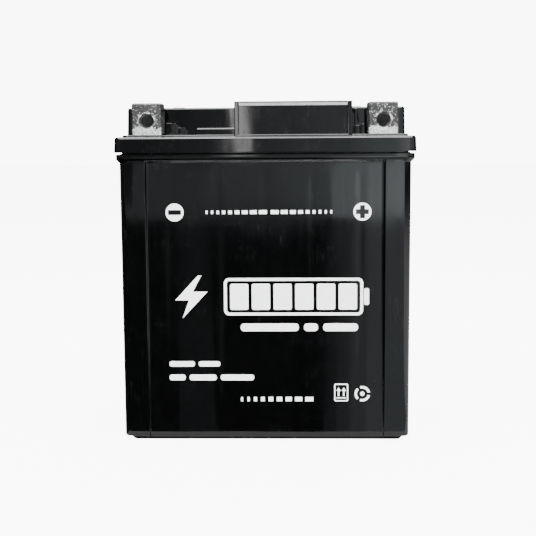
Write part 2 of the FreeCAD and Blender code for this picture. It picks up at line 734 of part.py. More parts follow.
def build_terminal(label, side):
    """A cast lead block with a slot for a square nut, and a bolt hole in its front and its top."""
    body = new_body(label)
    half = "(terminal_width / 2)"
    block = level_sketch(body, "deck_top")
    rounded_rectangle(block, f"-{half}", half, "terminal_front", "terminal_back", "terminal_round")
    pad(body, block, "terminal_top - deck_top")
    dress(body, "Fillet", "terminal_round", at_height("terminal_top"))
    slot = side_sketch(body, half)
    rectangle(
        slot,
        "terminal_front + front_wall",
        "terminal_back - back_wall",
        "deck_top + base_wall",
        "terminal_top - top_wall",
    )
    pocket(body, slot, "terminal_width")
    front_hole = front_sketch(body, "terminal_front")
    circle(front_hole, "0", "bolt_height", "bolt_hole")
    pocket(body, front_hole, "front_wall")
    top_hole = level_sketch(body, "terminal_top")
    circle(top_hole, "0", TERMINAL_ROW, "bolt_hole")
    pocket(body, top_hole, "top_wall")
    move(body, f"{side} * terminal_offset")


def build_terminal_nut(label, side):
    """A square nut behind the terminal's front wall."""
    body = new_body(label)
    half = "(nut_side / 2)"
    square = front_sketch(body, "terminal_front + front_wall + nut_gap")
    rectangle(square, f"-{half}", half, f"bolt_height - {half}", f"bolt_height + {half}")
    circle(square, "0", "bolt_height", "nut_bore")
    pad(body, square, "nut_height", down=True)
    bore = value_of("nut_bore")
    dress(body, "Chamfer", "nut_chamfer", lambda box: same(box.XLength, 2 * bore) and box.YLength < 0.01)
    move(body, f"{side} * terminal_offset")


def build_post(label, side):
    """The lead pole that carries the current through the lid."""
    pole = new_piece("Part::Cylinder", label)
    pole.setExpression("Radius", bound("pole_radius"))
    pole.setExpression("Height", bound("deck_top - strap_bottom - strap_height"))
    move(pole, f"{side} * terminal_offset", TERMINAL_ROW, "strap_bottom + strap_height")


def build_post_o_rings():
    """A rubber ring round each pole, in the lid's counterbore."""
    rings = []
    for side in (-1, 1):
        ring = doc.addObject("Part::Torus", "Ring")
        ring.setExpression("Radius1", bound("(pole_radius + ring_seat_radius) / 2"))
        ring.setExpression("Radius2", bound("ring_section"))
        move(ring, f"{side} * terminal_offset", TERMINAL_ROW, "deck_top - ring_seat_depth + ring_section")
        rings.append(ring)
    new_piece("Part::Compound", "post_o_rings").Links = rings


def build_post_resin_seals():
    """Cast resin over each rubber ring, level with the deck."""
    body = new_body("post_resin_seals")
    washers = level_sketch(body, "deck_top - resin_height")
    for side in (-1, 1):
        circle(washers, f"{side} * terminal_offset", TERMINAL_ROW, "ring_seat_radius")
        circle(washers, f"{side} * terminal_offset", TERMINAL_ROW, "pole_radius")
    pad(body, washers, "resin_height")


def build_intercell_welds():
    """A plug of lead through each partition joins one cell to the next."""
    welds = []
    for partition in PARTITIONS:
        weld = doc.addObject("Part::Cylinder", "Weld")
        weld.Placement.Rotation = FreeCAD.Rotation(FreeCAD.Vector(0, 1, 0), 90)
        weld.setExpression("Radius", bound("weld_radius - weld_gap"))
        weld.setExpression("Height", bound("partition"))
        side = positive_side(partition)
        move(weld, f"{partition_place(partition)} - partition / 2", f"{side} * lug_offset", "weld_height")
        welds.append(weld)
    new_piece("Part::Compound", "intercell_welds").Links = welds


def build_plates(label, cell, side, thickness, start, count):
    """Flat pasted grids, each with a lug up to the strap."""
    body = new_body(label)
    half = "(plate_width / 2)"
    lug = f"({side} * lug_offset)"
    outline = side_sketch(body, f"{start} - {STACK} / 2")
    polygon(
        outline,
        [
            (f"-{half}", "plate_bottom"),
            (half, "plate_bottom"),
            (half, "plate_top"),
            (f"{lug} + lug_width / 2", "plate_top"),
            (f"{lug} + lug_width / 2", "strap_bottom"),
            (f"{lug} - lug_width / 2", "strap_bottom"),
            (f"{lug} - lug_width / 2", "plate_top"),
            (f"-{half}", "plate_top"),
        ],
    )
    plate = pad(body, outline, thickness)
    repeat_along_x(body, [plate], f"{count - 1} * {PLATE_STEP}", count)
    move(body, cell_middle(cell))


def build_separators(cell):
    """A glass mat on each side of every positive plate."""
    body = new_body(f"cell_{cell}_separators")
    half = "(separator_width / 2)"
    mats = []
    for start in ("negative_plate", "negative_plate + separator + positive_plate"):
        outline = side_sketch(body, f"{start} - {STACK} / 2")
        rectangle(outline, f"-{half}", half, "cell_floor", "separator_top")
        mats.append(pad(body, outline, "separator"))
    repeat_along_x(body, mats, f"2 * {PLATE_STEP}", 3)
    move(body, cell_middle(cell))


def build_strap(label, cell, side, neighbour):
    """A lead bar over the lugs. neighbour is -1 or 1 for a tab against the partition at that
    side, and 0 at the ends of the row, where the bar reaches under the pole instead."""
    body = new_body(label)
    half = f"({cell_width(cell)} / 2)"
    row = f"({side} * lug_offset)"
    front = f"{row} - strap_width / 2" if neighbour else "-strap_reach"
    bar = level_sketch(body, "strap_bottom")
    rectangle(bar, f"strap_gap - {half}", f"{half} - strap_gap", front, f"{row} + strap_width / 2")
    pad(body, bar, "strap_height")
    if neighbour:
        face, inner = f"{neighbour} * {half}", f"{neighbour} * ({half} - tab_thickness)"
        left, right = (inner, face) if neighbour > 0 else (face, inner)
        tab = level_sketch(body, "strap_bottom")
        rectangle(tab, left, right, f"{row} - tab_width / 2", f"{row} + tab_width / 2")
        pad(body, tab, "tab_top - strap_bottom")
    move(body, cell_middle(cell))


def build_cell(cell):
    """Three positive plates between four negative ones, with mats between them, and a strap
    for each kind. The straps change sides from one cell to the next."""
    positive = positive_side(cell)
    negative = -positive
    between = "negative_plate + separator"
    build_plates(f"cell_{cell}_positive_plates", cell, positive, "positive_plate", between, 3)
    build_plates(f"cell_{cell}_negative_plates", cell, negative, "negative_plate", "0", 4)
    build_separators(cell)
    build_strap(f"cell_{cell}_positive_strap", cell, positive, 0 if cell == 6 else 1)
    build_strap(f"cell_{cell}_negative_strap", cell, negative, 0 if cell == 1 else -1)


def check_document():
    doc.recompute()
    for thing in doc.Objects:
        if "Invalid" in thing.State or "Error" in thing.State:
            raise RuntimeError(f"{thing.Label}: {thing.State}")
    for piece in pieces:
        if piece.Shape.isNull() or not piece.Shape.isValid():
            raise RuntimeError(f"{piece.Label} has no valid shape")


def write_parts():
    os.makedirs("parts", exist_ok=True)
    for piece in pieces:
        piece.Shape.exportStep(f"parts/{piece.Label}.step")


fill_sheet()
build_case()
build_lid()
build_cap_strip()
build_vent_cover()
build_vent_valve()
build_flame_arrestor()
for terminal_side, terminal_sign in ((-1, "negative"), (1, "positive")):
    build_terminal(f"{terminal_sign}_terminal", terminal_side)
    build_terminal_nut(f"{terminal_sign}_terminal_nut", terminal_side)
    build_post(f"{terminal_sign}_post", terminal_side)
build_post_o_rings()
build_post_resin_seals()
build_intercell_welds()
for cell_number in CELLS:
    build_cell(cell_number)
check_document()
write_parts()
for piece in pieces:
    print(piece.Label, len(piece.Shape.Solids), "solids,", round(piece.Shape.Volume), "mm3")
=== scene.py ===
"""The looks of a sealed motorcycle battery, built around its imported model.

Lengths are in metres. MM turns the millimetres of the real object's details into metres.
"""

import json
import math

import bmesh
import bpy
from mathutils import Matrix, Vector, noise
from mathutils.geometry import tessellate_polygon


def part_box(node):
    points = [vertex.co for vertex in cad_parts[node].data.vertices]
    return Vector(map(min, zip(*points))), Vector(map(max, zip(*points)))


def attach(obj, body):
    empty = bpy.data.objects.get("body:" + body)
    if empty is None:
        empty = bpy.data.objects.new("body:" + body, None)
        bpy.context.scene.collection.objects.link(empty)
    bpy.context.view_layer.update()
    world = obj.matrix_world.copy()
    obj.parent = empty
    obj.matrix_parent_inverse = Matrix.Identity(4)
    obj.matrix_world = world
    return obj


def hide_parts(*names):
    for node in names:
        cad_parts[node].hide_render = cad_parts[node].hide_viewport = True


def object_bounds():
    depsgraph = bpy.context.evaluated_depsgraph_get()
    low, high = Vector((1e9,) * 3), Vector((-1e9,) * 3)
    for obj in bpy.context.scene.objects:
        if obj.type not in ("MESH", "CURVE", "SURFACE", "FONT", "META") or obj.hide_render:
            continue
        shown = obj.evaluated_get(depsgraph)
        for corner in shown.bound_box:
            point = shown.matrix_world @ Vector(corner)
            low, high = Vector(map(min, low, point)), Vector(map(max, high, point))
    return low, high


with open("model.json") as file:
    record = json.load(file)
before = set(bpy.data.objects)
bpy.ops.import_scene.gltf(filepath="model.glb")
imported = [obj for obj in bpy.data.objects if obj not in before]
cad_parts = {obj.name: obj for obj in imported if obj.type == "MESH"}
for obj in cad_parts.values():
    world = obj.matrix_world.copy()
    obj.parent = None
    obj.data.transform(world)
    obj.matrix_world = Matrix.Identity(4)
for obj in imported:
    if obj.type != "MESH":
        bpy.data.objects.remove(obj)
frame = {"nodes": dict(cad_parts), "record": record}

MM = 0.001
cad_low, cad_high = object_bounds()
case_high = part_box("case")[1]

# the case: what its outline is made of, from the rim's half length and half depth inwards
RIM = Vector((case_high.x, case_high.y))
WALL = RIM - Vector((1.4, 0.2)) * MM
SPIGOT = RIM - Vector((2.3, 1.2)) * MM
DRAFT = math.tan(math.radians(0.1))
RIM_TOP = case_high.z - 3.6 * MM
RIM_BOTTOM = RIM_TOP - 2.0 * MM
RIM_SLOPE = 1.2 * MM
FOOT_HEIGHT = 1.9 * MM
FOOT_INSET = 3.2 * MM
FOOT_LEAN = math.tan(math.radians(35))
LEDGE_ROUND = 0.9 * MM
CELL_PITCH = 18.0 * MM
PARTITION = 1.6 * MM
CELL_WIDTH = CELL_PITCH - PARTITION
END_CELL = 15.3 * MM
CELL_DEPTH = 61.2 * MM
CELL_FLOOR = 2.5 * MM
PANEL_HALF = 45.0 * MM
PANEL_RECESS = 1.0 * MM
PANEL_FLANK = 0.06 * MM
PANEL_OUTER_ROUND = 0.4 * MM
PANEL_INNER_ROUND = 0.3 * MM
# corner radii of the outline, from the foot up
FOOT_CORNER = 1.6 * MM
WALL_CORNER = 2.6 * MM
RIM_CORNER = 3.0 * MM
SPIGOT_CORNER = 2.0 * MM
CELL_CORNER = 1.0 * MM
# rings of the foot above the base, and of the rim above its underside: height and inset in millimetres
FOOT_RINGS = ((0.0, 0.35), (0.08, 0.12), (0.3, 0.0), (0.8, 0.0), (1.4, 0.0), (1.75, 0.0))
RIM_RINGS = ((0.02, 0.03), (0.25, 0.0), (1.0, 0.0), (1.7, 0.0), (1.86, 0.03), (1.97, 0.14), (2.0, 0.3))
# how the moulded walls have pulled in: depth of the waves, of the ripples and of the line at each partition
SAG_EVEN = 0.035 * MM
SAG_WAVE = 0.05 * MM
SAG_RIPPLE = 0.012 * MM
SAG_LINE = 0.03 * MM
SAG_LINE_REACH = 1.3 * MM
# the longest step between points along the front, the ends and the heights of the case
PANEL_SPACING = 0.9 * MM
END_SPACING = 2.4 * MM
RING_SPACING = 2.2 * MM


# ---- meshes


def new_object(name, vertices, faces, smooth=True):
    """An object from plain lists, in the frame's own metres."""
    mesh = bpy.data.meshes.new(name)
    mesh.from_pydata(vertices, [], faces)
    mesh.validate()
    mesh.polygons.foreach_set("use_smooth", [smooth] * len(mesh.polygons))
    piece = bpy.data.objects.new(name, mesh)
    bpy.context.collection.objects.link(piece)
    return piece


def apply_modifiers(piece):
    """Bakes the piece's modifiers into its mesh."""
    graph = bpy.context.evaluated_depsgraph_get()
    mesh = bpy.data.meshes.new_from_object(piece.evaluated_get(graph))
    piece.modifiers.clear()
    piece.data = mesh


def outward(piece):
    """Turns every face's normal outwards."""
    work = bmesh.new()
    work.from_mesh(piece.data)
    bmesh.ops.recalc_face_normals(work, faces=work.faces)
    work.to_mesh(piece.data)
    work.free()


def sharp_above(piece, angle):
    """Smooth shading, except across edges that turn by more than the angle in degrees."""
    piece.data.set_sharp_from_angle(angle=math.radians(angle))


def closed_piece(name, vertices, faces, sharp):
    """A closed mesh with its faces outwards, smooth but for edges that turn by more than sharp."""
    piece = new_object(name, vertices, faces)
    outward(piece)
    sharp_above(piece, sharp)
    return piece


def steps(start, end, longest):
    """Evenly spaced values from start to end, no further apart than longest."""
    count = max(1, math.ceil(abs(end - start) / longest))
    return [start + (end - start) * i / count for i in range(count + 1)]


def rounded_outline(half, radius, xs, ys, corner=8):
    """Points of a rounded rectangle, anticlockwise from above, starting at the front's left end.
    xs and ys are the places of the points along the front and back, and along the ends."""
    flat = Vector((half.x - radius, half.y - radius))
    points = [Vector((x, -half.y)) for x in xs]
    arcs = ((flat.x, -flat.y, -90), (flat.x, flat.y, 0), (-flat.x, flat.y, 90), (-flat.x, -flat.y, 180))
    runs = (
        [Vector((half.x, y)) for y in ys],
        [Vector((x, half.y)) for x in reversed(xs)],
        [Vector((-half.x, y)) for y in reversed(ys)],
        [],
    )
    for (centre_x, centre_y, first), run in zip(arcs, runs):
        for i in range(corner + 1):
            angle = math.radians(first + 90 * i / corner)
            out = Vector((math.cos(angle), math.sin(angle)))
            points.append(Vector((centre_x + radius * out.x, centre_y + radius * out.y)))
        points.extend(run)
    return points


def bridge(first, second, count):
    """Quads between two closed rings of count vertices, which start at those indices."""
    return [
        (first + i, first + (i + 1) % count, second + (i + 1) % count, second + i)
        for i in range(count)
    ]


def softened_copy(node, name, width):
    """A copy of a node's shape with a small round along every sharp edge."""
    work = bmesh.new()
    work.from_mesh(frame["nodes"][node].data)
    bmesh.ops.remove_doubles(work, verts=work.verts, dist=0.001 * MM)
    bmesh.ops.dissolve_limit(work, angle_limit=math.radians(0.5), verts=work.verts, edges=work.edges)
    work.verts.index_update()
    vertices = [tuple(v.co) for v in work.verts]
    faces = [tuple(v.index for v in face.verts) for face in work.faces]
    work.free()
    piece = new_object(name, vertices, faces)
    round_off = piece.modifiers.new("round", "BEVEL")
    round_off.limit_method = "ANGLE"
    round_off.angle_limit = math.radians(40)
    round_off.width = width
    round_off.segments = 3
    round_off.use_clamp_overlap = False
    even = piece.modifiers.new("even", "WEIGHTED_NORMAL")
    even.weight = 100
    apply_modifiers(piece)
    return piece


def smooth_step(low, high, value):
    """0 below low, 1 above high, and an S-curve between."""
    share = min(max((value - low) / (high - low), 0.0), 1.0)
    return share * share * (3 - 2 * share)


# ---- the case


def wall_half_depth(height):
    """Half the case's depth over the corner columns, at that height."""
    return WALL.y - DRAFT * (RIM_BOTTOM - height)


def panel_step(x):
    """How deep the panel's floor lies at x: two small rounds and a steep flank at each side."""
    inside = PANEL_HALF - abs(x)
    if inside <= -PANEL_OUTER_ROUND:
        return 0.0
    if inside < 0:
        lift = inside + PANEL_OUTER_ROUND
        return PANEL_OUTER_ROUND - math.sqrt(PANEL_OUTER_ROUND ** 2 - lift ** 2)
    if inside < PANEL_FLANK:
        middle = PANEL_RECESS - PANEL_OUTER_ROUND - PANEL_INNER_ROUND
        return PANEL_OUTER_ROUND + middle * inside / PANEL_FLANK
    reach = inside - PANEL_FLANK
    if reach < PANEL_INNER_ROUND:
        gap = PANEL_INNER_ROUND - reach
        return PANEL_RECESS - PANEL_INNER_ROUND + math.sqrt(PANEL_INNER_ROUND ** 2 - gap ** 2)
    return PANEL_RECESS


def panel_columns():
    """Places along the case's front: close together at the panel's edges, even elsewhere."""
    edge = [-PANEL_OUTER_ROUND * math.cos(math.radians(18 * i)) for i in range(1, 5)]
    edge += [-PANEL_OUTER_ROUND, 0.0, PANEL_FLANK]
    edge += [PANEL_FLANK + PANEL_INNER_ROUND * (1 - math.cos(math.radians(18 * i))) for i in range(1, 6)]
    right = [PANEL_HALF - inside for inside in edge]
    outer = steps(PANEL_HALF + PANEL_OUTER_ROUND, PANEL_HALF + 3.4 * MM, 1.2 * MM)[1:]
    inner = steps(0, PANEL_HALF - PANEL_FLANK - PANEL_INNER_ROUND, PANEL_SPACING)[:-1]
    right = sorted(right + outer + inner)
    return [-x for x in reversed(right[1:])] + right


def mould_sag(across, height, seed):
    """How far a moulded wall has pulled in: a faint wave all over, and a line at each partition."""
    wave = noise.noise(Vector((across / (26 * MM), height / (60 * MM), seed)))
    ripple = noise.noise(Vector((across / (7 * MM), height / (45 * MM), seed + 5)))
    nearest = round(across / CELL_PITCH) * CELL_PITCH
    line = 0.0
    if abs(nearest) < 2.5 * CELL_PITCH:
        line = math.exp(-(((across - nearest) / SAG_LINE_REACH) ** 2))
    fade = smooth_step(2 * MM, 9 * MM, height) * (1 - smooth_step(100 * MM, 107 * MM, height))
    return (SAG_EVEN + SAG_WAVE * wave + SAG_RIPPLE * ripple + SAG_LINE * line) * fade


def front_depth(x, height, seed=0.0):
    """Half depth of the case's front or back wall, recess and sink marks included."""
    return wall_half_depth(height) - panel_step(x) - mould_sag(x, height, seed)


def case_rows():
    """Height, half size and corner radius of each ring of the case's outside, from the foot up."""
    def drafted(height):
        return WALL - Vector((1, 1)) * DRAFT * (RIM_BOTTOM - height)

    even = Vector((1, 1))
    rows = []
    foot = drafted(FOOT_HEIGHT) - even * FOOT_INSET
    for height, inset in FOOT_RINGS:
        rows.append((height * MM, foot + even * (FOOT_LEAN * height - inset) * MM, FOOT_CORNER - 0.1 * MM))
    top = foot + even * FOOT_LEAN * FOOT_HEIGHT
    rows.append((FOOT_HEIGHT - 0.03 * MM, top + even * 0.08 * MM, FOOT_CORNER))
    ledge = drafted(FOOT_HEIGHT + LEDGE_ROUND) - even * LEDGE_ROUND
    for share in (0.35, 0.75):
        rows.append((FOOT_HEIGHT, top.lerp(ledge, share), FOOT_CORNER))
    for i in range(7):
        angle = math.radians(15 * i)
        out = even * LEDGE_ROUND * math.sin(angle)
        rows.append((FOOT_HEIGHT + LEDGE_ROUND * (1 - math.cos(angle)), ledge + out, (1.9 + 0.1 * i) * MM))
    last = RIM_BOTTOM - RIM_SLOPE
    wall_rings = steps(FOOT_HEIGHT + LEDGE_ROUND, last - 0.4 * MM, RING_SPACING)[1:]
    for height in wall_rings + [last - 0.05 * MM, last]:
        rows.append((height, drafted(height), WALL_CORNER))
    for height in steps(RIM_BOTTOM - RIM_SLOPE, RIM_BOTTOM - 0.12 * MM, 0.18 * MM)[1:]:
        slope = RIM - even * (RIM_BOTTOM - height)
        wall = drafted(height)
        half = Vector((max(slope.x, wall.x), max(slope.y, wall.y)))
        rows.append((height, half, RIM_CORNER - 0.1 * MM))
    for height, inset in RIM_RINGS:
        rows.append((RIM_BOTTOM + height * MM, RIM - even * inset * MM, RIM_CORNER))
    rows.append((RIM_TOP, SPIGOT + even * 0.15 * MM, SPIGOT_CORNER + 0.2 * MM))
    rows.append((RIM_TOP + 0.15 * MM, SPIGOT, SPIGOT_CORNER))
    rows.append((case_high.z - 0.25 * MM, SPIGOT, SPIGOT_CORNER))
    rows.append((case_high.z, SPIGOT - even * 0.25 * MM, SPIGOT_CORNER - 0.1 * MM))
    return rows


def sunk_point(point, height, half):
    """A point of a ring after the panels, the sink marks and the wave are pressed into it."""
    x, y = point
    if FOOT_HEIGHT < height < RIM_BOTTOM and abs(y) > half.y - 1e-7 and abs(x) < PANEL_HALF + 4 * MM:
        depth = min(front_depth(x, height, 0.0 if y < 0 else 40.0), half.y)
        if height > RIM_BOTTOM - RIM_SLOPE:
            depth = max(depth, RIM.y - (RIM_BOTTOM - height))
        y = math.copysign(depth, y)
    elif FOOT_HEIGHT < height < RIM_BOTTOM - RIM_SLOPE and abs(x) > half.x - 1e-7:
        x = math.copysign(half.x - mould_sag(y + CELL_PITCH / 2, height, 80.0 + x), x)
    return (x, y, height)


def cell_sides(cell):
    """Left and right inner side of a cell. Cells count from 0 at the negative end."""
    left = (cell - 3) * CELL_PITCH + PARTITION / 2
    right = left + CELL_WIDTH
    if cell == 0:
        left = right - END_CELL
    if cell == 5:
        right = left + END_CELL
    return left, right


def build_case():
    """The container: one closed mesh of a lofted outside and six cells sunk from its top."""
    xs = panel_columns()
    ys = steps(-27 * MM, 27 * MM, END_SPACING)
    vertices, faces = [], []
    rows = case_rows()
    count = 0
    for height, half, radius in rows:
        ring = [sunk_point(p, height, half) for p in rounded_outline(half, radius, xs, ys)]
        count = len(ring)
        vertices.extend(ring)
    for i in range(len(rows) - 1):
        faces += bridge(i * count, (i + 1) * count, count)
    faces.append(tuple(reversed(range(count))))
    top_ring = list(range((len(rows) - 1) * count, len(rows) * count))
    holes = []
    for cell in range(6):
        left, right = cell_sides(cell)
        middle = Vector(((left + right) / 2, 0))
        half = Vector(((right - left) / 2, CELL_DEPTH / 2))
        outline = rounded_outline(half, CELL_CORNER, [0.0], [0.0], 4)
        start = len(vertices)
        for height in (case_high.z, CELL_FLOOR):
            vertices.extend((p.x + middle.x, p.y, height) for p in outline)
        inside = len(outline)
        faces += bridge(start + inside, start, inside)
        faces.append(tuple(start + inside + i for i in range(inside)))
        holes.append(list(range(start, start + inside)))
    loops = [top_ring] + holes
    order = [index for loop in loops for index in loop]
    flat = [[Vector((vertices[i][0], vertices[i][1], 0)) for i in loop] for loop in loops]
    faces += [tuple(order[i] for i in triangle) for triangle in tessellate_polygon(flat)]
    return closed_piece("case_shell", vertices, faces, 31)


BEAD_SPACING = 0.8 * MM
BEAD_RADIUS = 0.22 * MM
BEAD_LUMP = 0.16 * MM
BEAD_SIDES = 10


def build_weld_bead():
    """The irregular thread of plastic that the heat seal squeezed out between the case and the lid."""
    xs = steps(-50 * MM, 50 * MM, BEAD_SPACING)
    ys = steps(-30 * MM, 30 * MM, BEAD_SPACING)
    path = rounded_outline(SPIGOT + Vector((1, 1)) * 0.1 * MM, SPIGOT_CORNER, xs, ys)
    vertices = []
    for i, point in enumerate(path):
        after = path[(i + 1) % len(path)]
        before = path[i - 1]
        along = (after - before).normalized()
        out = Vector((along.y, -along.x))
        place = Vector((point.x, point.y, 0)) / (3 * MM)
        lump = 0.5 + 0.5 * noise.noise(place) + 0.4 * noise.noise(place * 3.1)
        radius = BEAD_RADIUS + BEAD_LUMP * max(lump, 0.0)
        lift = RIM_TOP + 0.22 * MM + 0.06 * MM * noise.noise(place * 1.7 + Vector((9, 0, 0)))
        for j in range(BEAD_SIDES):
            angle = 2 * math.pi * j / BEAD_SIDES
            side = point + out * (radius * 1.5 * math.cos(angle))
            vertices.append((side.x, side.y, lift + radius * 0.8 * math.sin(angle)))
    faces = []
    for i in range(len(path)):
        faces += bridge(i * BEAD_SIDES, (i + 1) % len(path) * BEAD_SIDES, BEAD_SIDES)
    piece = new_object("weld_bead", vertices, faces)
    outward(piece)
    return piece


# ---- the vent cover


COVER_THICK = 1.6 * MM
COVER_SLOPE = 0.45 * MM
COVER_SLOPE_HEIGHT = 1.1 * MM
COVER_RISER_EDGE = 0.06 * MM
COVER_BACK_ROUND = 0.35 * MM
COVER_SPACING = 2.0 * MM
# how far from an end, and how far inwards there, the cover's rounded ends run, in millimetres
COVER_ENDS = ((0.0, 0.22), (0.05, 0.1), (0.14, 0.03), (0.3, 0.0))
DISC_MIDDLE = Vector((9.0, -26.4)) * MM
DISC_RING_OUTER = 4.5 * MM
DISC_RING_INNER = 3.7 * MM


def cover_profile(low, high):
    """The cover's section, from the foot of its front edge over the top to its back edge."""
    base = high.z - COVER_THICK
    profile = [
        (low.y + COVER_SLOPE * share, base + COVER_SLOPE_HEIGHT * share) for share in steps(0, 1, 0.125)
    ]
    profile.append((low.y + COVER_SLOPE, high.z - COVER_RISER_EDGE))
    level = low.y + COVER_SLOPE + COVER_RISER_EDGE
    profile.append((level, high.z))
    profile += [(y, high.z) for y in steps(level, high.y - COVER_BACK_ROUND, COVER_SPACING)[1:]]
    for i in range(1, 7):
        angle = math.radians(90 * i / 6)
        y = high.y - COVER_BACK_ROUND * (1 - math.sin(angle))
        profile.append((y, high.z - COVER_BACK_ROUND * (1 - math.cos(angle))))
    profile.append((high.y, base))
    return profile


def build_vent_cover():
    """The welded cover plate, its front edge a slope below a small riser,
    and the ring below that holds the disc."""
    low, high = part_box("vent_cover")
    base = high.z - COVER_THICK
    profile = cover_profile(low, high)
    length = high.x - low.x
    ends = [(low.x + at * MM, inset * MM) for at, inset in COVER_ENDS]
    ends += [(low.x + at, 0.0) for at in steps(COVER_SPACING, length - COVER_SPACING, COVER_SPACING)]
    ends += [(high.x - at * MM, inset * MM) for at, inset in reversed(COVER_ENDS)]
    vertices, faces = [], []
    for x, inset in ends:
        for y, z in profile:
            y = min(max(y, low.y + inset), high.y - inset)
            z = min(max(z, base + inset), high.z - inset)
            wave = 0.03 * MM * noise.noise(Vector((x, y, 0)) / (9 * MM))
            vertices.append((x, y, z + min(wave, 0.0) * (z > base + COVER_THICK / 2)))
    count = len(profile)
    for i in range(len(ends) - 1):
        faces += bridge(i * count, (i + 1) * count, count)
    faces.append(tuple(range(count)))
    faces.append(tuple(len(vertices) - 1 - i for i in range(count)))
    start = len(vertices)
    around = 48
    outer, inner = DISC_RING_OUTER, DISC_RING_INNER
    rings = ((outer, base + 0.1 * MM), (outer, low.z + 0.2 * MM), (outer - 0.2 * MM, low.z))
    rings += ((inner + 0.15 * MM, low.z), (inner, low.z + 0.15 * MM), (inner, base + 0.1 * MM))
    for radius, z in rings:
        ring = round_shape(DISC_MIDDLE, radius, around)
        vertices += [(p.x, p.y, z) for p in ring]
    for i in range(len(rings)):
        faces += bridge(start + i * around, start + (i + 1) % len(rings) * around, around)
    return closed_piece("cover_plate", vertices, faces, 20)


# ---- the prints on the front


PRINT_PROUD = 0.035 * MM
PRINT_BURIED = 0.06 * MM
PRINT_SPACING = 0.9 * MM


def dense(outline):
    """The same closed outline with more points along its long edges, so that it follows the wall."""
    points = []
    for start, end in zip(outline, outline[1:] + outline[:1]):
        longest = PRINT_SPACING / max((end - start).length, 1e-9)
        points += [start.lerp(end, share) for share in steps(0, 1, longest)[:-1]]
    return points


class Print:
    """One mesh of thin raised shapes that follow the front panel. Shapes are in x and height."""

    def __init__(self, name):
        self.name = name
        self.vertices = []
        self.faces = []

    def shape(self, outline, holes=()):
        """Adds a closed flat shape, with holes cut through it."""
        loops = [dense(loop) for loop in (outline, *holes)]
        start = len(self.vertices)
        total = sum(len(loop) for loop in loops)
        for lift in (PRINT_PROUD, -PRINT_BURIED):
            for loop in loops:
                self.vertices += [(p.x, -front_depth(p.x, p.y) - lift, p.y) for p in loop]
        flat = [[Vector((p.x, p.y, 0)) for p in loop] for loop in loops]
        for a, b, c in tessellate_polygon(flat):
            self.faces.append((start + a, start + b, start + c))
            self.faces.append((start + total + c, start + total + b, start + total + a))
        first = start
        for loop in loops:
            self.faces += bridge(first, first + total, len(loop))
            first += len(loop)

    def finish(self):
        piece = new_object(self.name, self.vertices, self.faces, smooth=False)
        outward(piece)
        return piece


def round_shape(centre, radius, points=40):
    """A circle's points, in x and height."""
    turns = [2 * math.pi * i / points for i in range(points)]
    return [centre + Vector((math.cos(t), math.sin(t))) * radius for t in turns]


def block_shape(centre, width, height, radius=0.0, corner=4):
    """A rectangle's points, with rounded corners if a radius is given."""
    half = Vector((width / 2, height / 2))
    if radius <= 0:
        return [centre + Vector((half.x * i, half.y * j)) for i, j in ((-1, -1), (1, -1), (1, 1), (-1, 1))]
    points = []
    for i, j, first in ((-1, -1, 180), (1, -1, 270), (1, 1, 0), (-1, 1, 90)):
        middle = centre + Vector(((half.x - radius) * i, (half.y - radius) * j))
        for step in range(corner + 1):
            angle = math.radians(first + 90 * step / corner)
            points.append(middle + Vector((math.cos(angle), math.sin(angle))) * radius)
    return points


def cross_shape(centre, length, width):
    """A plus sign's twelve points."""
    long, short = length / 2, width / 2
    corner = [(long, short), (short, short), (short, long)]
    points = []
    for turn in range(4):
        spin = Matrix.Rotation(math.pi / 2 * turn, 2)
        points += [centre + spin @ Vector(p) for p in corner]
    return points


# the two signs and the upper row of dashes share a line across the panel
SIGN_HEIGHT = 88.5 * MM
SIGN_RADIUS = 3.4 * MM
SIGN_PLACE = 35.5 * MM
SIGN_SHIFT = 1.2 * MM
SIGN_BAR = 5.0 * MM
SIGN_STROKE = 1.9 * MM


def build_polarity_signs():
    """A minus and a plus, cut out of two discs."""
    signs = Print("polarity_signs")
    left = Vector((-SIGN_PLACE + SIGN_SHIFT, SIGN_HEIGHT))
    right = Vector((SIGN_PLACE + SIGN_SHIFT, SIGN_HEIGHT))
    signs.shape(round_shape(left, SIGN_RADIUS), [block_shape(left, SIGN_BAR, SIGN_STROKE)])
    signs.shape(round_shape(right, SIGN_RADIUS), [cross_shape(right, SIGN_BAR, SIGN_STROKE)])
    return signs.finish()


DASHES = 9
UPPER_ROW_MIDDLE = 1.4 * MM
LOWER_ROW_END = 18.1 * MM
LOWER_ROW_HEIGHT = 16.4 * MM


def build_dash_rows():
    """Two rows of dashes that shrink from their longest one: the upper on both sides of its middle,
    the lower towards the left."""
    dashes = Print("dash_rows")
    edge = 0.72 * MM
    for i in range(DASHES):
        width = (0.76 + 2.25 * (1 - i / (DASHES - 1)) ** 1.7) * MM
        for side in (-1, 1):
            place = Vector((UPPER_ROW_MIDDLE + side * (edge + width / 2), SIGN_HEIGHT))
            dashes.shape(block_shape(place, width, (1.45 - 0.02 * i) * MM))
        edge += width + (0.84 + 0.065 * i) * MM
    edge = LOWER_ROW_END
    for i in range(DASHES):
        width = (0.77 + 2.35 * (1 - i / (DASHES - 1)) ** 1.2) * MM
        dashes.shape(block_shape(Vector((edge - width / 2, LOWER_ROW_HEIGHT)), width, 1.7 * MM))
        edge -= width + (1.15 + 0.07 * i) * MM
    return dashes.finish()


GAUGE_MIDDLE = Vector((10.6, 56.2)) * MM
GAUGE_SIZE = Vector((53.0, 14.4)) * MM
GAUGE_STROKE = 1.1 * MM
GAUGE_BARS = 6
SPARK_MIDDLE = Vector((-28.4, 56.2)) * MM
# corners round the spark's middle, in millimetres
SPARK = ((2.6, 8.2), (-6.2, -1.3), (-0.9, -1.3), (-3.4, -8.2), (6.2, 2.0), (0.6, 2.0), (3.9, 8.2))


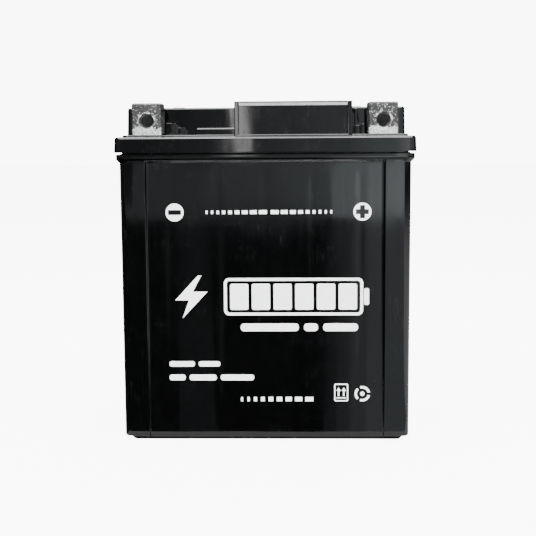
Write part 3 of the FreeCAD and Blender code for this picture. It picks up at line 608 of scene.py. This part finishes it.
def build_level_mark():
    """A lying battery with six full bars, and a spark beside it."""
    mark = Print("level_mark")
    centre = GAUGE_MIDDLE
    width, height = GAUGE_SIZE
    stroke = GAUGE_STROKE
    outer = block_shape(centre, width, height, 2.0 * MM, 6)
    inner = block_shape(centre, width - 2 * stroke, height - 2 * stroke, 1.1 * MM, 6)
    mark.shape(outer, [inner])
    nub = centre + Vector((width / 2 + 1.3 * MM, 0))
    mark.shape(block_shape(nub, 1.9 * MM, 6.4 * MM, 0.6 * MM))
    room = width - 2 * stroke - 1.2 * MM
    bar = room / GAUGE_BARS
    for i in range(GAUGE_BARS):
        x = centre.x - room / 2 + bar * (i + 0.5)
        mark.shape(block_shape(Vector((x, centre.y)), bar - 1.3 * MM, height - 4.4 * MM, 0.7 * MM))
    mark.shape([SPARK_MIDDLE + Vector(p) * MM for p in SPARK])
    return mark.finish()


# lines of bars in millimetres: height on the panel, thickness, and where each bar starts and ends
BAR_LINES = (
    (44.4, 3.0, ((-9.6, 12.6), (14.6, 19.9), (21.9, 35.2))),
    (30.2, 2.1, ((-37.2, -27.4), (-25.9, -17.6))),
    (24.9, 2.3, ((-37.2, -31.0), (-29.5, -19.0), (-17.5, -4.6))),
)


def build_plain_bars():
    """Rounded bars where a label would have its lines of words."""
    bars = Print("label_bars")
    for height, thick, runs in BAR_LINES:
        for left, right in runs:
            middle = Vector(((left + right) / 2, height)) * MM
            bars.shape(block_shape(middle, (right - left) * MM, thick * MM, thick * 0.42 * MM))
    return bars.finish()


def ring_shape(centre, outer, inner, first, last, points=14):
    """A piece of a ring between two angles in degrees."""
    turns = [math.radians(first + (last - first) * i / points) for i in range(points + 1)]
    out = [centre + Vector((math.cos(t), math.sin(t))) * outer for t in turns]
    back = [centre + Vector((math.cos(t), math.sin(t))) * inner for t in reversed(turns)]
    return out + back


UPRIGHT_MIDDLE = Vector((28.8, 19.0)) * MM
UPRIGHT_SIZE = Vector((5.4, 7.0)) * MM
UPRIGHT_STROKE = 0.5 * MM
# corners of an arrow round its middle, in millimetres
ARROW = ((0, 2.1), (-0.85, 0.75), (-0.3, 0.75), (-0.3, -1.2), (0.3, -1.2), (0.3, 0.75), (0.85, 0.75))
ARCS_MIDDLE = Vector((36.9, 18.5)) * MM


def build_care_marks():
    """A keep-upright mark in a frame, and a ring of three arcs round a dot."""
    marks = Print("care_marks")
    width, height = UPRIGHT_SIZE
    inside = UPRIGHT_SIZE - Vector((2, 2)) * UPRIGHT_STROKE
    outer = block_shape(UPRIGHT_MIDDLE, width, height, 0.7 * MM)
    marks.shape(outer, [block_shape(UPRIGHT_MIDDLE, inside.x, inside.y, 0.35 * MM)])
    for side in (-1, 1):
        middle = UPRIGHT_MIDDLE + Vector((side * 1.0, -0.1)) * MM
        marks.shape([middle + Vector(p) * MM for p in ARROW])
    marks.shape(block_shape(UPRIGHT_MIDDLE + Vector((0, -2.1)) * MM, 3.6 * MM, 0.45 * MM))
    for turn in range(3):
        marks.shape(ring_shape(ARCS_MIDDLE, 3.0 * MM, 2.1 * MM, 120 * turn + 12, 120 * turn + 108))
    marks.shape(round_shape(ARCS_MIDDLE, 0.85 * MM, 20))
    return marks.finish()


# ---- terminals and nuts


# the scrapes on a terminal's front, in millimetres from its bolt hole's middle
SCRAPE_LINE = -2.55
SCRAPE_LIP = 3.0
SCRAPE_DEPTH = 1.1
LEAD_GRAIN = 0.13 * MM
HOLE_HEIGHT = 5.2 * MM


def scraped_share(place, seed):
    """How far the cast skin is scraped down to bright lead, from 0 to 1. place is in millimetres
    from the bolt hole's middle on the front face: x, depth behind the face, and height."""
    x, depth, height = place
    patch = noise.noise(Vector((x * 0.55, height * 0.55, seed)))
    fine = noise.noise(Vector((x * 2.6, height * 2.6, seed + 7)))
    low_line = SCRAPE_LINE + 1.5 * patch + 0.75 * fine
    low = smooth_step(-0.25, 0.25, low_line - height)
    radius = math.hypot(x, height)
    lip = smooth_step(0.5, 0.0, abs(radius - SCRAPE_LIP) - 0.16 - 0.35 * patch)
    lip *= smooth_step(-0.2, 0.35, patch + 0.6 * fine)
    specks = smooth_step(0.42, 0.6, fine + 0.45 * noise.noise(Vector((x * 0.8, height * 0.8, seed + 3))))
    on_front = smooth_step(SCRAPE_DEPTH, 0.25, depth)
    return max(low * on_front, lip * on_front, specks * 0.85 * on_front)


def build_terminal(side_name, seed):
    """A cast lead block: the design's shape, remeshed finely, with cast grain and scrapes."""
    node = f"{side_name}_terminal"
    low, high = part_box(node)
    mesh = frame["nodes"][node].data.copy()
    piece = bpy.data.objects.new(f"{side_name}_lead_block", mesh)
    bpy.context.collection.objects.link(piece)
    piece.data.materials.clear()
    remesh = piece.modifiers.new("fine", "REMESH")
    remesh.mode = "VOXEL"
    remesh.voxel_size = LEAD_GRAIN
    remesh.use_smooth_shade = True
    apply_modifiers(piece)
    work = bmesh.new()
    work.from_mesh(piece.data)
    bmesh.ops.smooth_vert(
        work, verts=work.verts, factor=0.5, use_axis_x=True, use_axis_y=True, use_axis_z=True
    )
    work.normal_update()
    bare = work.verts.layers.float.new("bare")
    hole = Vector(((low.x + high.x) / 2, low.y, low.z + HOLE_HEIGHT))
    for vertex in work.verts:
        place = (vertex.co - hole) / MM
        share = scraped_share(place, seed)
        cast = noise.noise(place * 0.45 + Vector((seed, 0, 0))) * 0.07
        cast += noise.noise(place * 1.9) * 0.03 + noise.noise(place * 5.3) * 0.014
        streaks = Vector((place.x * 5 + place.z * 3, place.y, place.z * 1.2))
        scraped = -0.05 + noise.noise(streaks) * 0.05 + noise.noise(place * 3.0) * 0.03
        lift = cast * (1 - share) + scraped * share
        vertex.co += vertex.normal * lift * MM
        vertex[bare] = share
    work.to_mesh(piece.data)
    work.free()
    piece.data.polygons.foreach_set("use_smooth", [True] * len(piece.data.polygons))
    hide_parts(node)
    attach(piece, "battery")
    return piece


NUT_CREST = 2.1 * MM
NUT_ROOT = 2.5 * MM
NUT_PITCH = 0.8 * MM
NUT_CORNER = 0.5 * MM
NUT_BEVEL = 0.25 * MM


def square_reach(angle, half, radius):
    """Distance from the middle to the edge of a rounded square, in that direction."""
    x, y = abs(math.cos(angle)), abs(math.sin(angle))
    if x < y:
        x, y = y, x
    reach = half / x
    flat = half - radius
    if reach * y > flat:
        along = flat * (x + y)
        reach = along + math.sqrt(max(along * along - 2 * flat * flat + radius * radius, 0.0))
    return reach


def build_nut(side_name):
    """A pressed square nut with a real thread, its axis along Y."""
    node = f"{side_name}_terminal_nut"
    low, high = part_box(node)
    middle = (low + high) / 2
    half = (high.x - low.x) / 2
    thick = high.y - low.y
    around = 72
    profile = [("square", 0.0, -NUT_BEVEL)] + [("square", NUT_BEVEL, 0.0)]
    profile += [("square", share * thick, 0.0) for share in (0.35, 0.65)]
    profile += [("square", thick - NUT_BEVEL, 0.0), ("square", thick, -NUT_BEVEL)]
    turns = 40
    profile += [("bore", thick * (1 - i / turns), 0.0) for i in range(turns + 1)]
    vertices = []
    for kind, depth, inset in profile:
        for i in range(around):
            angle = 2 * math.pi * i / around
            if kind == "square":
                reach = square_reach(angle, half, NUT_CORNER) + inset
            else:
                phase = (depth / NUT_PITCH - i / around) % 1.0
                reach = NUT_CREST + (NUT_ROOT - NUT_CREST) * (1 - abs(2 * phase - 1))
                mouth = max(0.0, 0.5 * MM - min(depth, thick - depth))
                reach = max(reach, NUT_CREST + mouth)
            x = middle.x + reach * math.cos(angle)
            z = middle.z + reach * math.sin(angle)
            vertices.append((x, low.y + depth, z))
    faces = []
    for i in range(len(profile)):
        faces += bridge(i * around, (i + 1) % len(profile) * around, around)
    piece = closed_piece(f"{side_name}_square_nut", vertices, faces, 40)
    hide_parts(node)
    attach(piece, f"{side_name}_nut")
    return piece


# ---- materials


WHITE = (1, 1, 1, 1)


def add_node(tree, kind, **values):
    """A new node, with plain values on its sockets. An underscore stands for a space in their names."""
    node = tree.nodes.new(kind)
    for name, value in values.items():
        node.inputs[name.replace("_", " ").title()].default_value = value
    return node


class Surface:
    """A node material on one Principled shader, with short ways to add nodes to it."""

    def __init__(self, name, metallic=0.0, ior=1.5):
        self.material = bpy.data.materials.new(name)
        self.material.use_nodes = True
        self.tree = self.material.node_tree
        self.tree.nodes.clear()
        self.output = self.tree.nodes.new("ShaderNodeOutputMaterial")
        self.shader = self.tree.nodes.new("ShaderNodeBsdfPrincipled")
        self.tree.links.new(self.shader.outputs["BSDF"], self.output.inputs["Surface"])
        self.shader.inputs["Metallic"].default_value = metallic
        self.shader.inputs["IOR"].default_value = ior
        self.place = self.tree.nodes.new("ShaderNodeTexCoord").outputs["Object"]

    def join(self, value, socket):
        """Links a node's result to a socket, or sets a plain value on it."""
        if isinstance(value, bpy.types.NodeSocket):
            self.tree.links.new(value, socket)
        else:
            socket.default_value = value

    def into(self, **inputs):
        """Joins values to the shader's sockets; base_color stands for Base Color."""
        for name, value in inputs.items():
            self.join(value, self.shader.inputs[name.replace("_", " ").title()])

    def stretched(self, scale, turn=(0, 0, 0), shift=(0, 0, 0)):
        """The place on the object in units of 1 mm, times scale, one number or one along each axis."""
        rotation = [math.radians(angle) for angle in turn]
        along = scale if isinstance(scale, tuple) else (scale, scale, scale)
        per_metre = [value / MM for value in along]
        node = add_node(self.tree, "ShaderNodeMapping", rotation=rotation, location=shift, scale=per_metre)
        self.join(self.place, node.inputs["Vector"])
        return node.outputs["Vector"]

    def noise(self, scale, detail=3.0, roughness=0.5, turn=(0, 0, 0), shift=(0, 0, 0)):
        """Noise with so many lumps to the millimetre along each axis."""
        node = add_node(self.tree, "ShaderNodeTexNoise", scale=1.0, detail=detail, roughness=roughness)
        self.join(self.stretched(scale, turn, shift), node.inputs["Vector"])
        return node.outputs["Fac"]

    def cells(self, scale, feature="F1"):
        """Distance to the nearest of scattered points, so many to the millimetre."""
        node = add_node(self.tree, "ShaderNodeTexVoronoi", scale=1.0)
        node.feature = feature
        self.join(self.stretched(scale), node.inputs["Vector"])
        return node.outputs["Distance"]

    def spread(self, value, low, high, bottom=0.0, top=1.0):
        """Maps low..high of a value to bottom..top, held at both ends."""
        limits = {"from_min": low, "from_max": high, "to_min": bottom, "to_max": top}
        node = add_node(self.tree, "ShaderNodeMapRange", **limits)
        node.interpolation_type = "SMOOTHSTEP"
        self.join(value, node.inputs["Value"])
        return node.outputs["Result"]

    def sum(self, kind, first, second):
        """A math node of that kind on two values."""
        node = self.tree.nodes.new("ShaderNodeMath")
        node.operation = kind
        self.join(first, node.inputs[0])
        self.join(second, node.inputs[1])
        return node.outputs[0]

    def band(self, value, middle, width):
        """1 where the value is near the middle, 0 further off than the width: a thin line."""
        distance = self.sum("ABSOLUTE", self.sum("SUBTRACT", value, middle), 0.0)
        return self.spread(distance, width, 0.0)

    def blend(self, share, first, second):
        """A colour between two colours."""
        node = self.tree.nodes.new("ShaderNodeMix")
        node.data_type = "RGBA"
        self.join(share, node.inputs[0])
        self.join(first, node.inputs[6])
        self.join(second, node.inputs[7])
        return node.outputs[2]

    def tint(self, pattern, low, high, first, second):
        """A colour that runs from the first to the second as the pattern runs from low to high."""
        return self.blend(self.spread(pattern, low, high), first, second)

    def attribute(self, name):
        """A value that the mesh carries on its vertices."""
        node = self.tree.nodes.new("ShaderNodeAttribute")
        node.attribute_name = name
        return node.outputs["Fac"]

    def between(self, share, first, second):
        """A plain value between two values."""
        node = self.tree.nodes.new("ShaderNodeMix")
        self.join(share, node.inputs[0])
        self.join(first, node.inputs[2])
        self.join(second, node.inputs[3])
        return node.outputs[0]

    def bump(self, height, distance):
        """Adds relief of that depth in millimetres to the shader's normal."""
        node = add_node(self.tree, "ShaderNodeBump", strength=1.0, distance=distance * MM)
        self.join(height, node.inputs["Height"])
        normal = self.shader.inputs["Normal"]
        if normal.links:
            self.join(normal.links[0].from_socket, node.inputs["Normal"])
        self.join(node.outputs["Normal"], normal)


def grey(value, blue=1.0):
    """A near-neutral colour."""
    return (value, value * (1 + (blue - 1) / 2), value * blue, 1.0)


def scratches(surface, turn, shift, width, patch):
    """Fine straight scratches in one direction, in patches."""
    long_noise = surface.noise((1.1, 1.1, 0.05), 1.0, 0.5, turn, shift)
    line = surface.band(long_noise, 0.5, width)
    clouds = surface.noise(0.09, 2.0, 0.5, (0, 0, 0), shift)
    where = surface.spread(clouds, patch, patch + 0.1)
    return surface.sum("MULTIPLY", line, where)


def black_plastic(name, tone, gloss, wave, uneven=1.0):
    """Moulded black polypropylene: semi-gloss, faintly streaked by flow, with handling scratches."""
    surface = Surface(name, ior=1.49)
    flow = surface.noise((0.12, 0.12, 0.006), 3.0, 0.5)
    fine_flow = surface.noise((0.7, 0.7, 0.01), 2.0, 0.5, shift=(3, 3, 3))
    cloud = surface.noise((0.035, 0.035, 0.028), 3.0, 0.5, shift=(4, 2, 7))
    haze = surface.noise((0.16, 0.16, 0.1), 4.0, 0.6, shift=(1, 8, 3))
    upright = scratches(surface, (0, 7, 4), (3, 1, 2), 0.006, 0.56)
    level = scratches(surface, (0, 86, 0), (7, 5, 9), 0.007, 0.57)
    slanted = scratches(surface, (10, 38, 20), (2, 9, 4), 0.005, 0.58)
    marks = surface.sum("MAXIMUM", surface.sum("MAXIMUM", upright, level), slanted)
    base = surface.blend(surface.spread(haze, 0.35, 0.75), grey(tone, 1.3), grey(tone * 2.2, 1.2))
    surface.into(base_color=surface.blend(surface.sum("MULTIPLY", marks, 0.3), base, grey(0.03)))
    rough = surface.spread(flow, 0.3, 0.7, gloss - 0.03 * uneven, gloss + 0.05 * uneven)
    rough = surface.sum("ADD", rough, surface.spread(fine_flow, 0.3, 0.7, -0.012 * uneven, 0.02 * uneven))
    rough = surface.sum("ADD", rough, surface.spread(cloud, 0.35, 0.7, -0.02 * uneven, 0.05 * uneven))
    rough = surface.sum("ADD", rough, surface.sum("MULTIPLY", marks, 0.16))
    surface.into(roughness=rough)
    surface.bump(surface.noise((0.045, 0.045, 0.02), 2.0, 0.4, shift=(5, 5, 5)), wave)
    surface.bump(flow, 0.02 * uneven)
    surface.bump(marks, -0.004)
    return surface.material


def cast_lead():
    """Cast lead with its grey oxide skin, mottled and pitted."""
    surface = Surface("cast_lead", metallic=0.85)
    mottle = surface.noise(0.5, 6.0, 0.65)
    pits = surface.spread(surface.cells(1.6), 0.12, 0.3)
    grain = surface.noise(5, 4.0, 0.6)
    surface.into(
        base_color=surface.tint(mottle, 0.35, 0.65, grey(0.216, 1.05), grey(0.3375)),
        roughness=surface.spread(mottle, 0.3, 0.7, 0.44, 0.66),
    )
    surface.bump(grain, 0.03)
    surface.bump(pits, 0.02)
    return surface.material


def terminal_lead():
    """Dull cast lead that is scraped bright where the mesh says so."""
    surface = Surface("terminal_lead", metallic=0.9)
    mottle = surface.noise(0.7, 6.0, 0.65)
    grain = surface.noise(6, 4.0, 0.6)
    bare = surface.attribute("bare")
    torn = surface.noise((3.2, 3.2, 1.4), 4.0, 0.7, turn=(0, 24, 0))
    skin = surface.tint(mottle, 0.3, 0.7, grey(0.032), grey(0.06))
    bright = surface.tint(torn, 0.4, 0.54, grey(0.3), grey(0.98))
    dull = surface.spread(mottle, 0.3, 0.7, 0.5, 0.62)
    polished = surface.spread(torn, 0.35, 0.65, 0.42, 0.26)
    surface.into(
        base_color=surface.blend(bare, skin, bright),
        roughness=surface.between(bare, dull, polished),
    )
    surface.bump(grain, 0.02)
    surface.bump(surface.sum("MULTIPLY", torn, bare), 0.1)
    return surface.material


def zinc_steel():
    """Zinc-plated steel, pressed and dulled, with faint tool lines."""
    surface = Surface("nut_steel", metallic=1.0)
    lines = surface.noise((0.4, 4.0, 4.0), 4.0, 0.6)
    bloom = surface.noise(0.8, 4.0, 0.6)
    surface.into(
        base_color=surface.tint(bloom, 0.35, 0.65, grey(0.12), (0.22, 0.22, 0.21, 1)),
        roughness=surface.spread(lines, 0.3, 0.7, 0.24, 0.46),
    )
    surface.bump(lines, 0.01)
    return surface.material


def rubber():
    """Soft black rubber with bloom."""
    surface = Surface("seal_rubber")
    bloom = surface.noise(0.7, 5.0, 0.6)
    surface.into(
        base_color=surface.tint(bloom, 0.4, 0.7, grey(0.014), grey(0.045)),
        roughness=surface.spread(bloom, 0.3, 0.7, 0.55, 0.75),
    )
    surface.bump(surface.noise(9, 3.0, 0.5), 0.01)
    return surface.material


def ceramic():
    """Sintered grains of a flame arrestor."""
    surface = Surface("porous_ceramic")
    grains = surface.cells(4)
    tint = surface.noise(1, 4.0, 0.6)
    surface.into(
        base_color=surface.tint(tint, 0.35, 0.65, (0.52, 0.5, 0.45, 1), (0.68, 0.66, 0.62, 1)),
        roughness=surface.spread(tint, 0.3, 0.7, 0.8, 0.95),
    )
    surface.bump(grains, -0.12)
    return surface.material


def resin():
    """Cast sealing resin, glossy with small lumps."""
    surface = Surface("seal_resin")
    lumps = surface.noise(0.6, 3.0, 0.5)
    surface.into(
        base_color=surface.tint(lumps, 0.35, 0.65, grey(0.012), grey(0.03)),
        roughness=surface.spread(lumps, 0.3, 0.7, 0.1, 0.26),
    )
    surface.bump(lumps, 0.15)
    return surface.material


def paste(name, dark, light):
    """Battery paste on a cast grid: fine grains and hairline cracks."""
    surface = Surface(name, metallic=0.1)
    grains = surface.noise(3, 6.0, 0.7)
    cracks = surface.spread(surface.cells(0.22, "DISTANCE_TO_EDGE"), 0.03, 0.0)
    surface.into(
        base_color=surface.tint(grains, 0.3, 0.7, dark, light),
        roughness=surface.spread(grains, 0.3, 0.7, 0.75, 0.95),
    )
    surface.bump(grains, 0.08)
    surface.bump(cracks, -0.08)
    return surface.material


def glass_mat():
    """A felt of fine glass fibres, damp with acid."""
    surface = Surface("glass_mat")
    warp = surface.noise((0.6, 5, 5), 4.0, 0.7, turn=(0, 30, 0))
    weft = surface.noise((5, 5, 0.6), 4.0, 0.7, turn=(0, 20, 0))
    damp = surface.noise((0.06, 0.06, 0.04), 3.0, 0.5)
    surface.into(
        base_color=surface.tint(damp, 0.4, 0.65, (0.86, 0.86, 0.84, 1), (0.62, 0.62, 0.6, 1)),
        roughness=surface.spread(damp, 0.4, 0.65, 0.9, 0.55),
    )
    surface.bump(surface.sum("MAXIMUM", warp, weft), 0.15)
    return surface.material


def white_ink():
    """Printed ink: a matt white film with pinholes and a slight grain."""
    surface = Surface("white_ink")
    film = surface.noise(0.5, 5.0, 0.7)
    pinholes = surface.spread(surface.cells(2.2), 0.16, 0.07)
    thin = surface.sum("MULTIPLY", pinholes, surface.spread(film, 0.52, 0.66))
    tone = surface.tint(film, 0.3, 0.7, grey(0.84, 1.01), grey(0.93, 1.01))
    surface.into(
        base_color=surface.blend(thin, tone, grey(0.3)),
        roughness=surface.spread(film, 0.3, 0.7, 0.42, 0.6),
    )
    surface.bump(film, 0.01)
    return surface.material


# ---- camera and studio

CAMERA_DISTANCE = 0.4089
CAMERA_PLACE = Vector((0.0127, cad_low.y - CAMERA_DISTANCE, 0.1137))
SKY_GLOW = 9.0
FLOOR_GLOW = 8.0
FLOOR_TONE = 0.3
SKY_TINT = (0.9, 0.97, 1.0, 1.0)
CAMERA_LENS = 73.1
CAMERA_PITCH, CAMERA_YAW, CAMERA_ROLL = (math.radians(angle) for angle in (-6.45, 1.636, -0.361))
# how bright the sky is from left to right: place and level, as the battery's gloss shows it
SKY_STOPS = (
    (0.0, 0.1), (0.36, 0.06), (0.45, 0.11), (0.53, 0.2),
    (0.58, 0.34), (0.63, 0.7), (0.75, 0.4), (1.0, 0.3),
)
SKY_AHEAD = 4.0
SKY_BEHIND = 0.3
# cloths on the floor: left and right in millimetres across the battery's front, and brightness
NEAR_CLOTHS = (
    (-1500, -34, 0.04), (-34, -19, 0.16), (-19, 22, 0.04), (22, 27, 0.22),
    (27, 32, 0.4), (32, 38, 0.65), (38, 90, 0.85),
)
FAR_CLOTHS = ((-60, -20, 0.6), (-20, 5, 0.75), (5, 25, 1.0), (25, 38, 2.1), (38, 90, 2.9))
CLOTH_START, CLOTH_MEET, CLOTH_END = 0.008, 1.2, 5.5
CLOTH_HEIGHT = 0.001
# soft boxes: name, place, target, width, height and power
SOFT_BOXES = (
    ("top_box", (0.0, 0.1, 0.8), (0, 0.1, 0.1), 1.0, 0.9, 36.0),
    ("left_box", (-0.75, -0.75, 0.95), (0, 0, 0.08), 0.5, 0.4, 18.0),
    ("right_box", (0.8, -0.65, 0.95), (0, 0, 0.08), 0.5, 0.4, 20.0),
    ("front_box", (0.0, -1.0, 0.95), (0, 0, 0.08), 0.9, 0.45, 36.0),
    ("strip_box", (-0.112, -2.0, 0.27), (0, 0, 0.12), 0.035, 0.36, 0.27),
)


def add_camera():
    """Stands in front of the battery, a little right of its middle, level with the lid."""
    data = bpy.data.cameras.new("camera")
    data.sensor_width = 36.0
    data.lens = CAMERA_LENS
    data.clip_start = 0.01
    camera = bpy.data.objects.new("camera", data)
    bpy.context.collection.objects.link(camera)
    camera.location = CAMERA_PLACE
    turn = Matrix.Rotation(CAMERA_YAW, 4, "Z") @ Matrix.Rotation(math.pi / 2 + CAMERA_PITCH, 4, "X")
    camera.rotation_euler = (turn @ Matrix.Rotation(CAMERA_ROLL, 4, "Z")).to_euler()
    bpy.context.scene.camera = camera


def area_light(name, place, target, width, height, power):
    """A soft box that faces its target."""
    data = bpy.data.lights.new(name, "AREA")
    data.shape = "RECTANGLE"
    data.size, data.size_y = width, height
    data.energy = power
    light = bpy.data.objects.new(name, data)
    bpy.context.collection.objects.link(light)
    light.location = place
    light.rotation_euler = (Vector(target) - Vector(place)).to_track_quat("-Z", "Y").to_euler()


def flat_card(name, corners, height):
    """A level surface of the studio."""
    card = new_object(name, [(x, y, height) for x, y in corners], [(0, 1, 2, 3)], smooth=False)
    return card


def glowing(name, strength, tint=SKY_TINT):
    """A plain surface that gives that much light."""
    material = bpy.data.materials.new(name)
    material.use_nodes = True
    nodes, links = material.node_tree.nodes, material.node_tree.links
    nodes.clear()
    output = nodes.new("ShaderNodeOutputMaterial")
    glow = add_node(material.node_tree, "ShaderNodeEmission", color=tint, strength=strength)
    links.new(glow.outputs["Emission"], output.inputs["Surface"])
    return material


def floor_paint():
    """A matt floor that the camera sees pale and evenly lit."""
    material = glowing("floor_paint", FLOOR_GLOW, WHITE)
    tree = material.node_tree
    nodes, links = tree.nodes, tree.links
    glow, output = nodes["Emission"], nodes["Material Output"]
    paint = add_node(tree, "ShaderNodeBsdfDiffuse", color=grey(FLOOR_TONE))
    path = nodes.new("ShaderNodeLightPath")
    seen = nodes.new("ShaderNodeMath")
    seen.operation = "MULTIPLY"
    seen.inputs[1].default_value = glow.inputs["Strength"].default_value
    add = nodes.new("ShaderNodeAddShader")
    links.new(path.outputs["Is Camera Ray"], seen.inputs[0])
    links.new(seen.outputs["Value"], glow.inputs["Strength"])
    links.new(paint.outputs["BSDF"], add.inputs[0])
    links.new(glow.outputs["Emission"], add.inputs[1])
    links.new(add.outputs["Shader"], output.inputs["Surface"])
    return material


def cloth(name, corners, strength):
    """A cloth or reflector on the floor that only the battery's gloss shows."""
    card = flat_card(name, corners, CLOTH_HEIGHT)
    card.data.materials.append(glowing(name + "_paint", strength))
    card.visible_camera = False
    card.visible_diffuse = False
    card.visible_shadow = False


def fan_cloth(name, left, right, near, far, strength):
    """A cloth that fills the front's reflection between two places across the front, from near to
    far in front of the battery."""
    def spot(x, distance):
        return (x + (x - CAMERA_PLACE.x) * distance / CAMERA_DISTANCE, cad_low.y - distance)

    cloth(name, (spot(left, far), spot(right, far), spot(right, near), spot(left, near)), strength)


def add_sky():
    """A pale sky for the camera. What lights the battery is dimmer at its left, brighter at its
    right, as beside a window, and dark behind it."""
    world = bpy.data.worlds.new("sky")
    bpy.context.scene.world = world
    world.use_nodes = True
    tree = world.node_tree
    nodes, links = tree.nodes, tree.links
    lit = nodes["Background"]
    lit.inputs["Color"].default_value = SKY_TINT
    seen = add_node(tree, "ShaderNodeBackground", strength=SKY_GLOW, color=WHITE)
    split = nodes.new("ShaderNodeSeparateXYZ")
    across = add_node(tree, "ShaderNodeMapRange", from_min=-0.5, from_max=0.5)
    ramp = nodes.new("ShaderNodeValToRGB")
    ramp.color_ramp.interpolation = "EASE"
    for position, level in SKY_STOPS[1:-1]:
        ramp.color_ramp.elements.new(position)
    for element, (position, level) in zip(ramp.color_ramp.elements, SKY_STOPS):
        element.position = position
        element.color = (level, level, level, 1)
    limits = {"from_min": -0.4, "from_max": 0.05, "to_min": SKY_AHEAD, "to_max": SKY_BEHIND}
    behind = add_node(tree, "ShaderNodeMapRange", **limits)
    strength = nodes.new("ShaderNodeMath")
    strength.operation = "MULTIPLY"
    choose = nodes.new("ShaderNodeMixShader")
    links.new(nodes.new("ShaderNodeTexCoord").outputs["Generated"], split.inputs["Vector"])
    links.new(split.outputs["X"], across.inputs["Value"])
    links.new(split.outputs["Y"], behind.inputs["Value"])
    links.new(across.outputs["Result"], ramp.inputs["Fac"])
    links.new(ramp.outputs["Color"], strength.inputs[0])
    links.new(behind.outputs["Result"], strength.inputs[1])
    links.new(strength.outputs["Value"], lit.inputs["Strength"])
    links.new(nodes.new("ShaderNodeLightPath").outputs["Is Camera Ray"], choose.inputs["Fac"])
    links.new(lit.outputs["Background"], choose.inputs[1])
    links.new(seen.outputs["Background"], choose.inputs[2])
    links.new(choose.outputs["Shader"], nodes["World Output"].inputs["Surface"])


def add_studio():
    """A pale floor and sky, soft boxes above, and dark and pale cloths on the floor in front of the
    battery, which its glossy front shows."""
    floor = flat_card("floor", ((-6, -6), (6, -6), (6, 6), (-6, 6)), 0.0)
    floor.data.materials.append(floor_paint())
    add_sky()
    for i, (left, right, strength) in enumerate(NEAR_CLOTHS):
        fan_cloth(f"near_cloth_{i}", left * MM, right * MM, CLOTH_START, CLOTH_MEET, strength)
    cloth("side_cloth", ((-1.5, -0.05), (-0.062, -0.05), (-0.062, 0.5), (-1.5, 0.5)), 0.08)
    for i, (left, right, strength) in enumerate(FAR_CLOTHS):
        fan_cloth(f"far_cloth_{i}", left * MM, right * MM, CLOTH_MEET, CLOTH_END, strength)
    for box in SOFT_BOXES:
        area_light(*box)


# ---- the pieces


def dress_nodes():
    """Every carried-over node gets its slot's detailed material."""
    surfaces = {
        "lid_plastic": black_plastic("lid_plastic", tone=0.0005, gloss=0.045, wave=0.16, uneven=0.3),
        "cap_plastic": black_plastic("cap_plastic", tone=0.0016, gloss=0.2, wave=0.15),
        "cover_plastic": black_plastic("cover_plastic", tone=0.0016, gloss=0.1, wave=0.1),
        "cast_lead": cast_lead(),
        "seal_rubber": rubber(),
        "porous_ceramic": ceramic(),
        "seal_resin": resin(),
        "positive_paste": paste("positive_paste", (0.07, 0.032, 0.02, 1), (0.16, 0.085, 0.06, 1)),
        "negative_paste": paste("negative_paste", grey(0.22, 1.05), grey(0.36, 1.05)),
        "glass_mat": glass_mat(),
    }
    for part in frame["record"]["subparts"]:
        material = surfaces.get(part["material_slot"])
        if material:
            for place in frame["nodes"][part["node"]].material_slots:
                place.material = material
    return surfaces


def add_piece(piece, material, replaced=()):
    """Fastens a new piece to the battery and gives it its finish."""
    piece.data.materials.append(material)
    if replaced:
        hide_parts(*replaced)
    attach(piece, "battery")


LID_EDGE_ROUND = 0.12 * MM
TERMINAL_SEEDS = (("negative", 3.0), ("positive", 11.0))

add_camera()
add_studio()
surfaces = dress_nodes()
shell_plastic = black_plastic("case_plastic", tone=0.0004, gloss=0.06, wave=0.03, uneven=0.6)
add_piece(build_case(), shell_plastic, ["case"])
add_piece(build_weld_bead(), shell_plastic)
lid = softened_copy("lid", "lid_shell", LID_EDGE_ROUND)
add_piece(lid, surfaces["lid_plastic"], ["lid"])
add_piece(build_vent_cover(), surfaces["cover_plastic"], ["vent_cover"])
ink = white_ink()
for build in (build_polarity_signs, build_dash_rows, build_level_mark, build_plain_bars, build_care_marks):
    add_piece(build(), ink)
lead = terminal_lead()
steel = zinc_steel()
for side_name, seed in TERMINAL_SEEDS:
    build_terminal(side_name, seed).data.materials.append(lead)
    build_nut(side_name).data.materials.append(steel)
